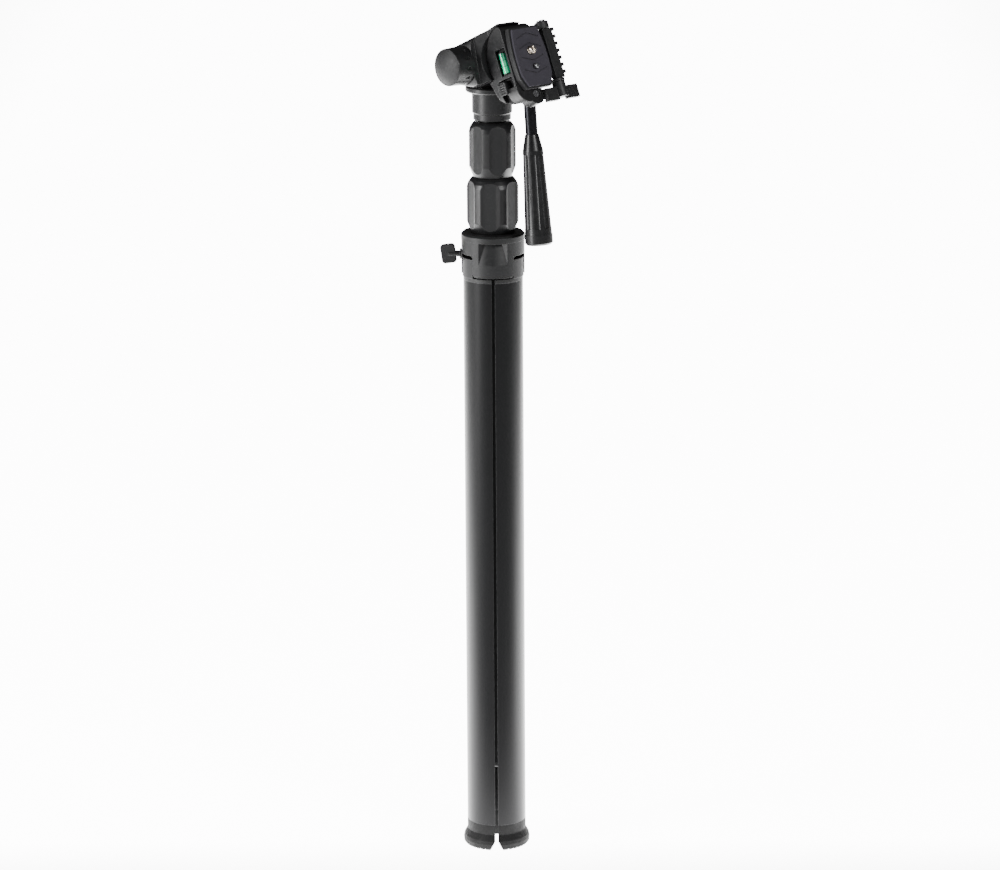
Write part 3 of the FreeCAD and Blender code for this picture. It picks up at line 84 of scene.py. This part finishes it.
# the vial's ends, its printed rings and its plugs, along its own axis
VIAL_MIDDLE = Vector((2.4, -17.0, -9.8)) * MM
VIAL_R = 3.0 * MM
VIAL_HALF = 9.25 * MM
VIAL_RING_AT = 2.6 * MM
VIAL_RING_FOOT = 0.18 * MM
VIAL_RING_FLAT = 0.12 * MM
VIAL_RING_RISE = 0.05 * MM
VIAL_PLUG_LENGTH = 1.0 * MM
VIAL_PLUG_BEVEL = 0.1 * MM
VIAL_PLUG_RISE = 0.12 * MM

# the coil spring under the video pin, in the camera plate's axes
SPRING_AT = Vector((11.5, 0.0, -5.0)) * MM
SPRING_R = 2.6 * MM
SPRING_LENGTH = 2.8 * MM
SPRING_WIRE_R = 0.14 * MM
SPRING_TURNS = 4
SPRING_STEPS_A_TURN = 40
SPRING_WIRE_SIDES = 8

# the floor's glow fades between these distances to the side, and between these in front
GLOW_ASIDE = (0.75, 1.6)
GLOW_FRONT = (-0.22, 0.0)

# each soft box: its name, the setting with its power, its size, its place and what it faces
SOFT_BOXES = (
    ("left soft box", "key", (0.6, 1.8), (-2.2, -1.1, 1.0), (0.0, 0.0, 0.36)),
    ("right soft box", "fill", (0.4, 0.4), (0.8, -0.9, 1.25), (0.0, 0.0, 0.68)),
    ("top soft box", "top", (1.2, 0.8), (0.9, -2.2, 2.0), (0.0, 0.0, 0.55)),
)

# the head is turned to its right, and the camera plate leans back on it
HEAD_YAW = math.radians(-48.0)
PLATE_LEAN = math.radians(66.0)
TILT_AXIS_Z = 672.1 * MM
PLATE_ORIGIN = Vector((42.6 * MM, 0.0, TILT_AXIS_Z + 10.0 * MM))


def head_matrix():
    """The head's own axes: x out of its front, turned about the column."""
    return Matrix.Rotation(HEAD_YAW, 4, "Z")


def plate_matrix():
    """The camera plate's own axes: x down along the plate, y across it, z out of it."""
    return head_matrix() @ Matrix.Translation(PLATE_ORIGIN) @ Matrix.Rotation(PLATE_LEAN, 4, "Y")


# ---- colours and nodes --------------------------------------------------------------------
def linear(hex_colour, alpha=1.0):
    """Turns an sRGB hex value into the linear colour that a shader takes."""
    values = [int(hex_colour.lstrip("#")[i:i + 2], 16) / 255 for i in (0, 2, 4)]
    return [v / 12.92 if v <= 0.04045 else ((v + 0.055) / 1.055) ** 2.4 for v in values] + [alpha]


def add_node(tree, kind, settings=None, inputs=None):
    """Adds a node, sets its own settings and fills its sockets with values or links."""
    node = tree.nodes.new(kind)
    for name, value in (settings or {}).items():
        setattr(node, name, value)
    for name, value in (inputs or {}).items():
        if isinstance(value, bpy.types.NodeSocket):
            tree.links.new(value, node.inputs[name])
        else:
            node.inputs[name].default_value = value
    return node


def new_surface(name, inputs):
    """A material with a bare Principled surface, its even values set on its own sockets."""
    material = bpy.data.materials.new(name)
    material.use_nodes = True
    tree = material.node_tree
    tree.nodes.clear()
    surface = add_node(tree, "ShaderNodeBsdfPrincipled", None, inputs)
    add_node(tree, "ShaderNodeOutputMaterial", None, {"Surface": surface.outputs["BSDF"]})
    return material, tree, surface


def blend_colours(tree, factor, dark, light):
    """Mixes two colours, each a linear value or a socket, by a factor from 0 to 1."""
    mix = add_node(tree, "ShaderNodeMix", {"data_type": "RGBA"}, {"Factor": factor})
    for socket, colour in (("A", dark), ("B", light)):
        plug = [s for s in mix.inputs if s.name == socket and s.type == "RGBA"][0]
        if isinstance(colour, bpy.types.NodeSocket):
            tree.links.new(colour, plug)
        else:
            plug.default_value = colour
    return [s for s in mix.outputs if s.type == "RGBA"][0]


def spread(tree, value, low, high, to_low, to_high):
    """Maps a value from one span to another, held inside it."""
    node = add_node(tree, "ShaderNodeMapRange", {"clamp": True},
                    {"Value": value, "From Min": low, "From Max": high, "To Min": to_low,
                     "To Max": to_high})
    return node.outputs["Result"]


def rounded_edges(tree, radius_mm):
    """The normal of a surface whose edges are rounded to radius_mm."""
    return add_node(tree, "ShaderNodeBevel", {"samples": 6},
                    {"Radius": radius_mm * MM}).outputs["Normal"]


def edge_wear(tree, rounded, most):
    """0 on a face and rising to most along an edge, from how far its rounded normal leans."""
    plain = add_node(tree, "ShaderNodeNewGeometry")
    lean = add_node(tree, "ShaderNodeVectorMath", {"operation": "DOT_PRODUCT"},
                    {0: rounded, 1: plain.outputs["Normal"]})
    return spread(tree, lean.outputs["Value"], 0.995, 0.86, 0.0, most)


def grain(tree, coordinates, size_mm, detail=4.0):
    """Noise whose blotches are about size_mm across."""
    node = add_node(tree, "ShaderNodeTexNoise", None,
                    {"Vector": coordinates, "Scale": 1.0 / (size_mm * MM), "Detail": detail,
                     "Roughness": 0.6})
    return node.outputs["Fac"]


# ---- materials ----------------------------------------------------------------------------
def anodised_aluminium(look):
    """Extruded, brushed and black-anodised tube: fine lines along it, satin, deep black."""
    material, tree, surface = new_surface("anodised aluminium", inputs={
        "Metallic": 0.18, "Specular IOR Level": 0.16})
    place = add_node(tree, "ShaderNodeTexCoord").outputs["Object"]
    # drawing lines are 0.1 mm apart on the real tube and drawn 0.5 mm apart so that they show
    drawn = add_node(tree, "ShaderNodeMapping", None,
                     {"Vector": place, "Scale": (1.0, 1.0, 0.012)}).outputs["Vector"]
    lines = grain(tree, drawn, look.tube_line_mm)
    cloud = grain(tree, place, 45.0, 2.0)
    rounded = rounded_edges(tree, 0.5)
    dye = blend_colours(tree, cloud, linear(look.tube_dark), linear(look.tube_light))
    worn = blend_colours(tree, edge_wear(tree, rounded, 0.4), dye, linear(look.bare_metal))
    tree.links.new(worn, surface.inputs["Base Color"])
    tree.links.new(spread(tree, lines, 0.3, 0.7, 0.30, 0.42), surface.inputs["Roughness"])
    bump = add_node(tree, "ShaderNodeBump", None,
                    {"Strength": 0.10, "Distance": 0.05 * MM, "Height": lines, "Normal": rounded})
    tree.links.new(bump.outputs["Normal"], surface.inputs["Normal"])
    return material


def moulded_abs(look, name, dark, light, roughness, edge_mm=0.5):
    """Injection-moulded ABS from a spark-eroded tool: a fine even grain and softened edges."""
    material, tree, surface = new_surface(name, inputs={"IOR": 1.53, "Specular IOR Level": 0.28})
    place = add_node(tree, "ShaderNodeTexCoord").outputs["Object"]
    # the tool's grain is 0.1 mm and is drawn coarser so that it shows
    pebbles = grain(tree, place, look.abs_grain_mm, 2.0)
    cloud = grain(tree, place, 18.0, 3.0)
    scuffs = grain(tree, place, 3.5, 6.0)
    rounded = rounded_edges(tree, edge_mm)
    body = blend_colours(tree, cloud, linear(dark), linear(light))
    worn = blend_colours(tree, edge_wear(tree, rounded, 0.35), body, linear(look.abs_edge))
    tree.links.new(worn, surface.inputs["Base Color"])
    tree.links.new(spread(tree, scuffs, 0.3, 0.75, roughness - 0.06, roughness + 0.10),
                   surface.inputs["Roughness"])
    bump = add_node(tree, "ShaderNodeBump", None,
                    {"Strength": 0.16, "Distance": 0.10 * MM, "Height": pebbles, "Normal": rounded})
    tree.links.new(bump.outputs["Normal"], surface.inputs["Normal"])
    return material


def moulded_rubber(look, name, dark, light, stipple_mm):
    """Compression-moulded rubber: soft, matt, faintly dusty on its raised edges."""
    material, tree, surface = new_surface(name, inputs={
        "IOR": 1.52, "Specular IOR Level": 0.12})
    place = add_node(tree, "ShaderNodeTexCoord").outputs["Object"]
    stipple = add_node(tree, "ShaderNodeTexVoronoi", {"feature": "SMOOTH_F1"},
                       {"Vector": place, "Scale": 1.0 / (stipple_mm * MM)}).outputs["Distance"]
    dust = grain(tree, place, 6.0, 5.0)
    rounded = rounded_edges(tree, 0.4)
    body = blend_colours(tree, dust, linear(dark), linear(light))
    worn = blend_colours(tree, edge_wear(tree, rounded, 0.4), body, linear(look.rubber_edge))
    tree.links.new(worn, surface.inputs["Base Color"])
    tree.links.new(spread(tree, dust, 0.3, 0.7, 0.55, 0.75), surface.inputs["Roughness"])
    bump = add_node(tree, "ShaderNodeBump", None,
                    {"Strength": 0.25, "Distance": 0.12 * MM, "Height": stipple, "Normal": rounded})
    tree.links.new(bump.outputs["Normal"], surface.inputs["Normal"])
    return material


def polished_grip_plastic(look):
    """Polished polypropylene grip: smooth and glossy with faint handling haze."""
    material, tree, surface = new_surface("polished polypropylene", inputs={
        "IOR": 1.49, "Specular IOR Level": 0.28})
    place = add_node(tree, "ShaderNodeTexCoord").outputs["Object"]
    haze = grain(tree, place, 5.0, 5.0)
    body = blend_colours(tree, haze, linear(look.grip_dark), linear(look.grip_light))
    tree.links.new(body, surface.inputs["Base Color"])
    tree.links.new(spread(tree, haze, 0.3, 0.7, 0.24, 0.36), surface.inputs["Roughness"])
    bump = add_node(tree, "ShaderNodeBump", None,
                    {"Strength": 0.05, "Distance": 0.1 * MM, "Height": haze})
    tree.links.new(bump.outputs["Normal"], surface.inputs["Normal"])
    return material


def plated_steel(name, dark, light, roughness, ring_gap):
    """Turned and plated steel: bright metal with faint turning rings."""
    material, tree, surface = new_surface(name, inputs={"Metallic": 1.0})
    place = add_node(tree, "ShaderNodeTexCoord").outputs["Object"]
    # real rings are about 0.1 mm apart and are drawn coarser so that they show
    rings = add_node(tree, "ShaderNodeTexWave", {"wave_type": "BANDS", "bands_direction": "Z"},
                     {"Vector": place, "Scale": 2 * math.pi / WAVE_RATE / ring_gap,
                      "Distortion": 1.5})
    cloud = grain(tree, place, 1.2, 4.0)
    rounded = rounded_edges(tree, 0.2)
    body = blend_colours(tree, cloud, linear(dark), linear(light))
    tree.links.new(body, surface.inputs["Base Color"])
    tree.links.new(spread(tree, cloud, 0.3, 0.7, roughness - 0.05, roughness + 0.08),
                   surface.inputs["Roughness"])
    bump = add_node(tree, "ShaderNodeBump", None,
                    {"Strength": 0.08, "Distance": 0.05 * MM, "Height": rings.outputs["Fac"],
                     "Normal": rounded})
    tree.links.new(bump.outputs["Normal"], surface.inputs["Normal"])
    return material


def rolled_thread_steel(look):
    """Nickel-plated camera screw with a rolled 20-per-inch thread, seen as even ridges."""
    material, tree, surface = new_surface("nickel plated steel", inputs={"Metallic": 1.0})
    turn = plate_matrix().inverted().to_euler()
    place = add_node(tree, "ShaderNodeTexCoord").outputs["Object"]
    turned_place = add_node(tree, "ShaderNodeMapping", None,
                            {"Vector": place, "Rotation": tuple(turn)}).outputs["Vector"]
    ridges = add_node(tree, "ShaderNodeTexWave", {"wave_type": "BANDS", "bands_direction": "Z"},
                      {"Vector": turned_place, "Scale": 2 * math.pi / WAVE_RATE / THREAD_PITCH})
    cloud = grain(tree, place, 0.8, 3.0)
    body = blend_colours(tree, cloud, linear(look.nickel_dark), linear(look.nickel_light))
    tree.links.new(body, surface.inputs["Base Color"])
    tree.links.new(spread(tree, cloud, 0.3, 0.7, 0.16, 0.30), surface.inputs["Roughness"])
    rounded = rounded_edges(tree, 0.25)
    bump = add_node(tree, "ShaderNodeBump", None,
                    {"Strength": 0.6, "Distance": 0.5 * MM, "Height": ridges.outputs["Fac"],
                     "Normal": rounded})
    tree.links.new(bump.outputs["Normal"], surface.inputs["Normal"])
    return material


def tinted_acrylic(look):
    """Green acrylic level vial full of tinted spirit, with painted light: its green is painted brighter
    towards its lower end and darker, as painted shade, towards its upper end, and it glows faintly though
    it is no lamp.
    """
    # a faint painted glow: the vial gives out its own painted colour, though it is no lamp
    material, tree, surface = new_surface("tinted acrylic", inputs={
        "IOR": 1.49, "Coat Weight": 1.0, "Coat Roughness": 0.03, "Roughness": 0.12,
        "Emission Strength": 0.18})
    place = add_node(tree, "ShaderNodeTexCoord").outputs["Object"]
    heights = add_node(tree, "ShaderNodeSeparateXYZ", None, {"Vector": place}).outputs["Z"]
    low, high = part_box("level_vial")
    # painted light and shade along the vial: 1 at its lowest point for painted light, falling to 0 at its
    # highest for painted shade
    along = spread(tree, heights, low[2], high[2], 1.0, 0.0)
    swirl = grain(tree, place, 4.0, 2.0)
    glow = add_node(tree, "ShaderNodeMath", {"operation": "MULTIPLY_ADD"},
                    {0: swirl, 1: 0.3, 2: along}).outputs["Value"]
    # the painted light and shade colour, which is also the colour of the painted glow
    body = blend_colours(tree, spread(tree, glow, 0.1, 1.2, 0.0, 1.0), linear(look.vial_painted_shade),
                         linear(look.vial_painted_light))
    tree.links.new(body, surface.inputs["Base Color"])
    tree.links.new(body, surface.inputs["Emission Color"])
    return material


def studio_floor(look):
    """A pale acrylic floor, lit a little from below all over and strongly behind the tripod."""
    material, tree, surface = new_surface("painted floor", inputs={
        "Specular IOR Level": 0.2, "Roughness": 0.85})
    place = add_node(tree, "ShaderNodeTexCoord").outputs["Object"]
    mottle = grain(tree, place, 400.0, 2.0)
    paint = blend_colours(tree, mottle, linear(look.floor_dark), linear(look.floor_light))
    parts = add_node(tree, "ShaderNodeSeparateXYZ", None, {"Vector": place}).outputs
    aside = add_node(tree, "ShaderNodeMath", {"operation": "ABSOLUTE"}, {0: parts["X"]})
    across = spread(tree, aside.outputs["Value"], *GLOW_ASIDE, look.floor_glow, 0.0)
    behind = spread(tree, parts["Y"], *GLOW_FRONT, 0.0, 1.0)
    glow = add_node(tree, "ShaderNodeMath", {"operation": "MULTIPLY_ADD"},
                    {0: across, 1: behind, 2: look.floor_base})
    tree.links.new(paint, surface.inputs["Base Color"])
    tree.links.new(paint, surface.inputs["Emission Color"])
    tree.links.new(glow.outputs["Value"], surface.inputs["Emission Strength"])
    return material


def give(material, *names):
    """Puts one material on each of the named CAD nodes."""
    for name in names:
        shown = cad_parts[name]
        shown.data.materials.clear()
        shown.data.materials.append(material)


# ---- small mesh helpers ---------------------------------------------------------------------
def new_piece(name, mesh_maker, matrix, material, body):
    """Builds one mesh piece in its own axes, places it and makes it ride on a body."""
    shape = bmesh.new()
    mesh_maker(shape)
    bmesh.ops.recalc_face_normals(shape, faces=shape.faces)
    shape.transform(matrix)
    mesh = bpy.data.meshes.new(name)
    shape.to_mesh(mesh)
    shape.free()
    for face in mesh.polygons:
        face.use_smooth = True
    piece = bpy.data.objects.new(name, mesh)
    bpy.context.scene.collection.objects.link(piece)
    mesh.materials.append(material)
    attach(piece, body)
    return piece


def lathe(shape, profile, sides=48):
    """Turns an (r, z) outline about z into a closed ring, or a closed solid where r is 0."""
    rows = []
    for r, z in profile:
        if r < 1e-9:
            rows.append([shape.verts.new((0, 0, z))] * sides)
        else:
            rows.append([shape.verts.new((r * math.cos(2 * math.pi * i / sides),
                                          r * math.sin(2 * math.pi * i / sides), z))
                         for i in range(sides)])
    loops = list(zip(rows, rows[1:]))
    if profile[0][0] > 1e-9 and profile[-1][0] > 1e-9:
        loops.append((rows[-1], rows[0]))
    for lower, upper in loops:
        for i in range(sides):
            j = (i + 1) % sides
            corners = []
            for vert in (lower[i], lower[j], upper[j], upper[i]):
                if vert not in corners:
                    corners.append(vert)
            if len(corners) > 2:
                shape.faces.new(corners)


# ---- settings -------------------------------------------------------------------------------
def colour(name, default, description):
    return bpy.props.StringProperty(name=name, default=default, description=description)


class TripodFinish(bpy.types.PropertyGroup):
    """Colours and grain sizes of the tripod's finishes"""
    tube_dark: colour("Tube, deep", "#0a0a0b", "Deepest black of the anodised tubes")
    tube_light: colour("Tube, light", "#101011", "Lighter black of the anodised tubes")
    bare_metal: colour("Worn edge of a tube", "#6a6b6c", "Metal that shows at a tube's cut edge")
    tube_line_mm: bpy.props.FloatProperty(name="Tube line spacing", default=0.5, min=0.1,
                                          description="Drawing lines along a tube, in millimetres")
    abs_dark: colour("ABS, deep", "#0e0e0f", "Deepest black of the moulded parts")
    abs_light: colour("ABS, light", "#161617", "Lighter black of the moulded parts")
    abs_edge: colour("ABS edge", "#2c2c2f", "Rubbed edges of the moulded parts")
    abs_grain_mm: bpy.props.FloatProperty(name="ABS grain", default=0.45, min=0.1,
                                          description="Moulded grain size, in millimetres")
    knob_cap: colour("Knob cap", "#171718", "Satin cap on the tilt knob")
    grip_dark: colour("Grip, deep", "#0c0c0d", "Deepest black of the handle's grip")
    grip_light: colour("Grip, light", "#131314", "Lighter black of the handle's grip")
    foot_dark: colour("Foot rubber, deep", "#060606", "Deepest black of the feet")
    foot_light: colour("Foot rubber, light", "#0b0b0b", "Lighter black of the feet")
    pad_dark: colour("Pad rubber, deep", "#2b292e", "Deeper grey of the camera pad")
    pad_light: colour("Pad rubber, light", "#37353c", "Lighter grey of the camera pad")
    rubber_edge: colour("Rubber edge", "#333237", "Dusty edges of the rubber parts")
    nickel_dark: colour("Nickel, deep", "#b9a994", "Warm shade of the plated screw")
    nickel_light: colour("Nickel, light", "#fff6ea", "Bright shade of the plated screw")
    steel_dark: colour("Steel, deep", "#5b5c5e", "Darker zinc plate")
    steel_light: colour("Steel, light", "#9b9c9e", "Lighter zinc plate")
    brass_dark: colour("Brass, deep", "#8a6a2c", "Darker shade of the brass insert")
    brass_light: colour("Brass, light", "#c79f4e", "Brighter shade of the brass insert")
    ink_dark: colour("Ink, deep", "#050505", "Deepest black of the vial's rings and plugs")
    ink_light: colour("Ink, light", "#0a0a0a", "Lighter black of the vial's rings and plugs")
    # the vial's painted shade and painted light: its green is painted darker at its upper end and brighter
    # at its lower end
    vial_painted_shade: colour("Vial, deep", "#00382a", "Shaded end of the level vial")
    vial_painted_light: colour("Vial, light", "#16c98a", "Bright end of the level vial")


class TripodStage(bpy.types.PropertyGroup):
    """Floor, lights and camera"""
    floor_dark: colour("Floor, deep", "#f1f1f1", "Darker shade of the floor")
    floor_light: colour("Floor, light", "#f6f6f6", "Lighter shade of the floor")
    floor_size: bpy.props.FloatProperty(name="Floor size", default=60.0, unit="LENGTH",
                                        description="Length of the floor's side")
    floor_glow: bpy.props.FloatProperty(name="Floor glow", default=13.0,
                                        description="Strength of the light from below the floor")
    floor_base: bpy.props.FloatProperty(name="Floor base glow", default=1.1,
                                        description="Strength of that light all over the floor")
    camera_distance: bpy.props.FloatProperty(name="Camera distance", default=3.75, unit="LENGTH",
                                             description="From the camera to the point it looks at")
    camera_aim: bpy.props.FloatProperty(name="Camera aim", default=0.3567, unit="LENGTH",
                                        description="Height of the point the camera looks at")
    camera_pitch: bpy.props.FloatProperty(name="Camera pitch", default=math.radians(14.4),
                                          subtype="ANGLE", description="How far it looks down")
    camera_roll: bpy.props.FloatProperty(name="Camera roll", default=math.radians(0.37),
                                         subtype="ANGLE", description="How far it is rolled")
    lens: bpy.props.FloatProperty(name="Lens", default=162.0, description="Focal length, in mm")
    shift: bpy.props.FloatProperty(name="Shift", default=0.0058, precision=4,
                                   description="Sideways lens shift")
    key: bpy.props.FloatProperty(name="Key light", default=115.0, description="Left light, in watts")
    fill: bpy.props.FloatProperty(name="Fill light", default=14.0,
                                  description="Right light, in watts")
    top: bpy.props.FloatProperty(name="Top light", default=9.0, description="Top light, in watts")
    sky: bpy.props.FloatProperty(name="Sky", default=0.08, description="Strength of the even light")


# ---- operators ------------------------------------------------------------------------------
class TRIPOD_OT_tubes(bpy.types.Operator):
    """Gives the leg and column tubes their anodised finish"""
    bl_idname = "tripod.tubes"
    bl_label = "Leg and column tubes"

    def execute(self, context):
        give(anodised_aluminium(context.scene.tripod_finish), *TUBES)
        return {"FINISHED"}


class TRIPOD_OT_mouldings(bpy.types.Operator):
    """Gives the hub, collars, head and clamp their moulded plastic"""
    bl_idname = "tripod.mouldings"
    bl_label = "Moulded parts"

    def execute(self, context):
        look = context.scene.tripod_finish
        give(moulded_abs(look, "moulded ABS hub", look.abs_dark, look.abs_light, 0.46),
             *HUB_MOULDINGS)
        give(moulded_abs(look, "moulded ABS collar", look.abs_dark, look.abs_light, 0.34, 0.8),
             *COLLARS)
        give(moulded_abs(look, "moulded ABS head", look.abs_dark, look.abs_light, 0.38, 0.8),
             *HEAD_MOULDINGS)
        give(moulded_abs(look, "moulded glass-filled nylon", look.abs_dark, look.abs_light, 0.5, 0.5),
             *PLATE_MOULDINGS)
        give(moulded_abs(look, "moulded acetal", look.abs_dark, look.abs_light, 0.4, 0.3),
             *INNER_MOULDINGS)
        give(moulded_abs(look, "moulded satin cap", look.knob_cap, look.knob_cap, 0.56, 0.5),
             "knob_cap")
        return {"FINISHED"}


class TRIPOD_OT_rubber(bpy.types.Operator):
    """Gives the feet and the camera pad their rubber"""
    bl_idname = "tripod.rubber"
    bl_label = "Rubber feet and pad"

    def execute(self, context):
        look = context.scene.tripod_finish
        give(moulded_rubber(look, "moulded rubber feet", look.foot_dark, look.foot_light, 0.9), *FEET)
        give(moulded_rubber(look, "moulded rubber pad", look.pad_dark, look.pad_light, 0.6),
             "plate_pad")
        return {"FINISHED"}


class TRIPOD_OT_metal(bpy.types.Operator):
    """Gives the screws, pins and the handle's rod their metal"""
    bl_idname = "tripod.metal"
    bl_label = "Screws, pins and rod"

    def execute(self, context):
        look = context.scene.tripod_finish
        give(plated_steel("zinc plated steel", look.steel_dark, look.steel_light, 0.35, STEEL_RINGS),
             *STEEL_PARTS)
        give(plated_steel("turned brass", look.brass_dark, look.brass_light, 0.3, STEEL_RINGS),
             "lock_screw_nut")
        give(plated_steel("black lacquered steel", look.abs_dark, look.abs_edge, 0.3, ROD_RINGS),
             "handle_rod")
        give(rolled_thread_steel(look), "camera_screw")
        return {"FINISHED"}


class TRIPOD_OT_handle(bpy.types.Operator):
    """Gives the pan handle's grip and end cap their polished plastic"""
    bl_idname = "tripod.handle"
    bl_label = "Pan handle"

    def execute(self, context):
        give(polished_grip_plastic(context.scene.tripod_finish), "handle_grip", "handle_end_cap")
        return {"FINISHED"}


class TRIPOD_OT_vial(bpy.types.Operator):
    """Tints the level vial and adds its two printed rings and two end plugs"""
    bl_idname = "tripod.vial"
    bl_label = "Level vial"

    def ring(self, z):
        """The outline of a printed ring round the vial."""
        top = VIAL_R + VIAL_RING_RISE
        return [(VIAL_R, z - VIAL_RING_FOOT), (top, z - VIAL_RING_FLAT),
                (top, z + VIAL_RING_FLAT), (VIAL_R, z + VIAL_RING_FOOT)]

    def plug(self, z, inward):
        """The outline of an end plug, from the vial's end inwards."""
        top = VIAL_R + VIAL_PLUG_RISE
        inner = z + inward * VIAL_PLUG_LENGTH
        return [(0.0, z), (VIAL_R, z), (top, z + inward * VIAL_PLUG_BEVEL),
                (top, inner - inward * VIAL_PLUG_BEVEL), (VIAL_R, inner), (0.0, inner)]

    def execute(self, context):
        look = context.scene.tripod_finish
        give(tinted_acrylic(look), "level_vial")
        along = (plate_matrix() @ Matrix.Translation(VIAL_MIDDLE)
                 @ Matrix.Rotation(math.radians(90.0), 4, "Y"))
        ink = moulded_abs(look, "printed black ring", look.ink_dark, look.ink_light, 0.4, 0.1)
        outlines = {"vial_ring_upper": self.ring(-VIAL_RING_AT),
                    "vial_ring_lower": self.ring(VIAL_RING_AT),
                    "vial_plug_upper": self.plug(-VIAL_HALF, 1),
                    "vial_plug_lower": self.plug(VIAL_HALF, -1)}
        for name, profile in outlines.items():
            new_piece(name, lambda shape, p=profile: lathe(shape, p), along, ink, "tilt_head")
        return {"FINISHED"}


class TRIPOD_OT_spring(bpy.types.Operator):
    """Winds the small coil spring under the video pin, at its free length, in place of the plain spring
    part, which it hides
    """
    bl_idname = "tripod.spring"
    bl_label = "Video pin spring"

    def wind(self, shape):
        """Winds the wire into a closed coil."""
        steps = SPRING_STEPS_A_TURN * SPRING_TURNS
        turns_round = [2 * math.pi * j / SPRING_WIRE_SIDES for j in range(SPRING_WIRE_SIDES)]
        rings = []
        for i in range(steps + 1):
            angle = 2 * math.pi * SPRING_TURNS * i / steps
            z = SPRING_AT.z + SPRING_WIRE_R + (SPRING_LENGTH - 2 * SPRING_WIRE_R) * i / steps
            ring = []
            for around in turns_round:
                r = SPRING_R + SPRING_WIRE_R * math.cos(around)
                ring.append(shape.verts.new((SPRING_AT.x + r * math.cos(angle), r * math.sin(angle),
                                             z + SPRING_WIRE_R * math.sin(around))))
            rings.append(ring)
        for lower, upper in zip(rings, rings[1:]):
            for j in range(SPRING_WIRE_SIDES):
                k = (j + 1) % SPRING_WIRE_SIDES
                shape.faces.new((lower[j], lower[k], upper[k], upper[j]))
        shape.faces.new(rings[0])
        shape.faces.new(rings[-1])

    def execute(self, context):
        look = context.scene.tripod_finish
        steel = plated_steel("spring steel", look.steel_dark, look.steel_light, 0.3, STEEL_RINGS)
        coil = new_piece("video_pin_coil", self.wind, plate_matrix(), steel, "camera_plate")
        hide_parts("video_pin_spring")
        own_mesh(coil)
        return {"FINISHED"}


class TRIPOD_OT_stage(bpy.types.Operator):
    """Builds the pale floor, the soft lights and the camera"""
    bl_idname = "tripod.stage"
    bl_label = "Floor, lights and camera"

    def soft_box(self, name, watts, size, place, aim):
        lamp = bpy.data.lights.new(name, "AREA")
        lamp.shape = "RECTANGLE"
        lamp.size, lamp.size_y = size
        lamp.energy = watts
        holder = bpy.data.objects.new(name, lamp)
        holder.location = place
        holder.rotation_euler = (Vector(aim) - Vector(place)).to_track_quat("-Z", "Y").to_euler()
        bpy.context.scene.collection.objects.link(holder)

    def execute(self, context):
        scene = context.scene
        look = scene.tripod_stage
        mesh = bpy.data.meshes.new("floor")
        shape = bmesh.new()
        bmesh.ops.create_grid(shape, x_segments=8, y_segments=8, size=look.floor_size / 2)
        shape.to_mesh(mesh)
        shape.free()
        floor = bpy.data.objects.new("floor", mesh)
        mesh.materials.append(studio_floor(look))
        scene.collection.objects.link(floor)

        world = bpy.data.worlds.new("studio")
        world.use_nodes = True
        world.node_tree.nodes["Background"].inputs["Color"].default_value = (1, 1, 1, 1)
        world.node_tree.nodes["Background"].inputs["Strength"].default_value = look.sky
        scene.world = world
        for name, power, size, place, aim in SOFT_BOXES:
            self.soft_box(name, getattr(look, power), size, place, aim)

        pitch, roll = look.camera_pitch, look.camera_roll
        ahead = Vector((0, math.cos(pitch), -math.sin(pitch)))
        right, above = Vector((1, 0, 0)), Vector((0, math.sin(pitch), math.cos(pitch)))
        side = right * math.cos(roll) - above * math.sin(roll)
        up = above * math.cos(roll) + right * math.sin(roll)
        place = Vector((0, 0, look.camera_aim)) - ahead * look.camera_distance
        lens = bpy.data.cameras.new("camera")
        lens.lens, lens.sensor_width, lens.sensor_fit = look.lens, 36.0, "HORIZONTAL"
        lens.shift_x = look.shift
        lens.dof.use_dof = False
        camera = bpy.data.objects.new("camera", lens)
        camera.matrix_world = Matrix(((side.x, up.x, -ahead.x, place.x), (side.y, up.y, -ahead.y, place.y),
                                      (side.z, up.z, -ahead.z, place.z), (0, 0, 0, 1)))
        scene.collection.objects.link(camera)
        scene.camera = camera
        return {"FINISHED"}


STEPS = (TRIPOD_OT_tubes, TRIPOD_OT_mouldings, TRIPOD_OT_rubber, TRIPOD_OT_metal,
         TRIPOD_OT_handle, TRIPOD_OT_vial, TRIPOD_OT_spring, TRIPOD_OT_stage)


class TRIPOD_PT_sidebar(bpy.types.Panel):
    """Lists the tripod's pieces, its stage and their settings"""
    bl_idname = "TRIPOD_PT_sidebar"
    bl_label = "Folded tripod"
    bl_space_type = "VIEW_3D"
    bl_region_type = "UI"
    bl_category = "Tripod"

    def draw(self, context):
        for step in STEPS:
            self.layout.operator(step.bl_idname)
        for group in (context.scene.tripod_finish, context.scene.tripod_stage):
            for name in group.__annotations__:
                self.layout.prop(group, name)


CLASSES = (TripodFinish, TripodStage) + STEPS + (TRIPOD_PT_sidebar,)


def register():
    for each in CLASSES:
        bpy.utils.register_class(each)
    bpy.types.Scene.tripod_finish = bpy.props.PointerProperty(type=TripodFinish)
    bpy.types.Scene.tripod_stage = bpy.props.PointerProperty(type=TripodStage)


def unregister():
    del bpy.types.Scene.tripod_stage
    del bpy.types.Scene.tripod_finish
    for each in reversed(CLASSES):
        bpy.utils.unregister_class(each)


def main():
    register()
    bpy.ops.tripod.tubes()
    bpy.ops.tripod.mouldings()
    bpy.ops.tripod.rubber()
    bpy.ops.tripod.metal()
    bpy.ops.tripod.handle()
    bpy.ops.tripod.vial()
    bpy.ops.tripod.spring()
    bpy.ops.tripod.stage()


if __name__ == "__main__":
    main()
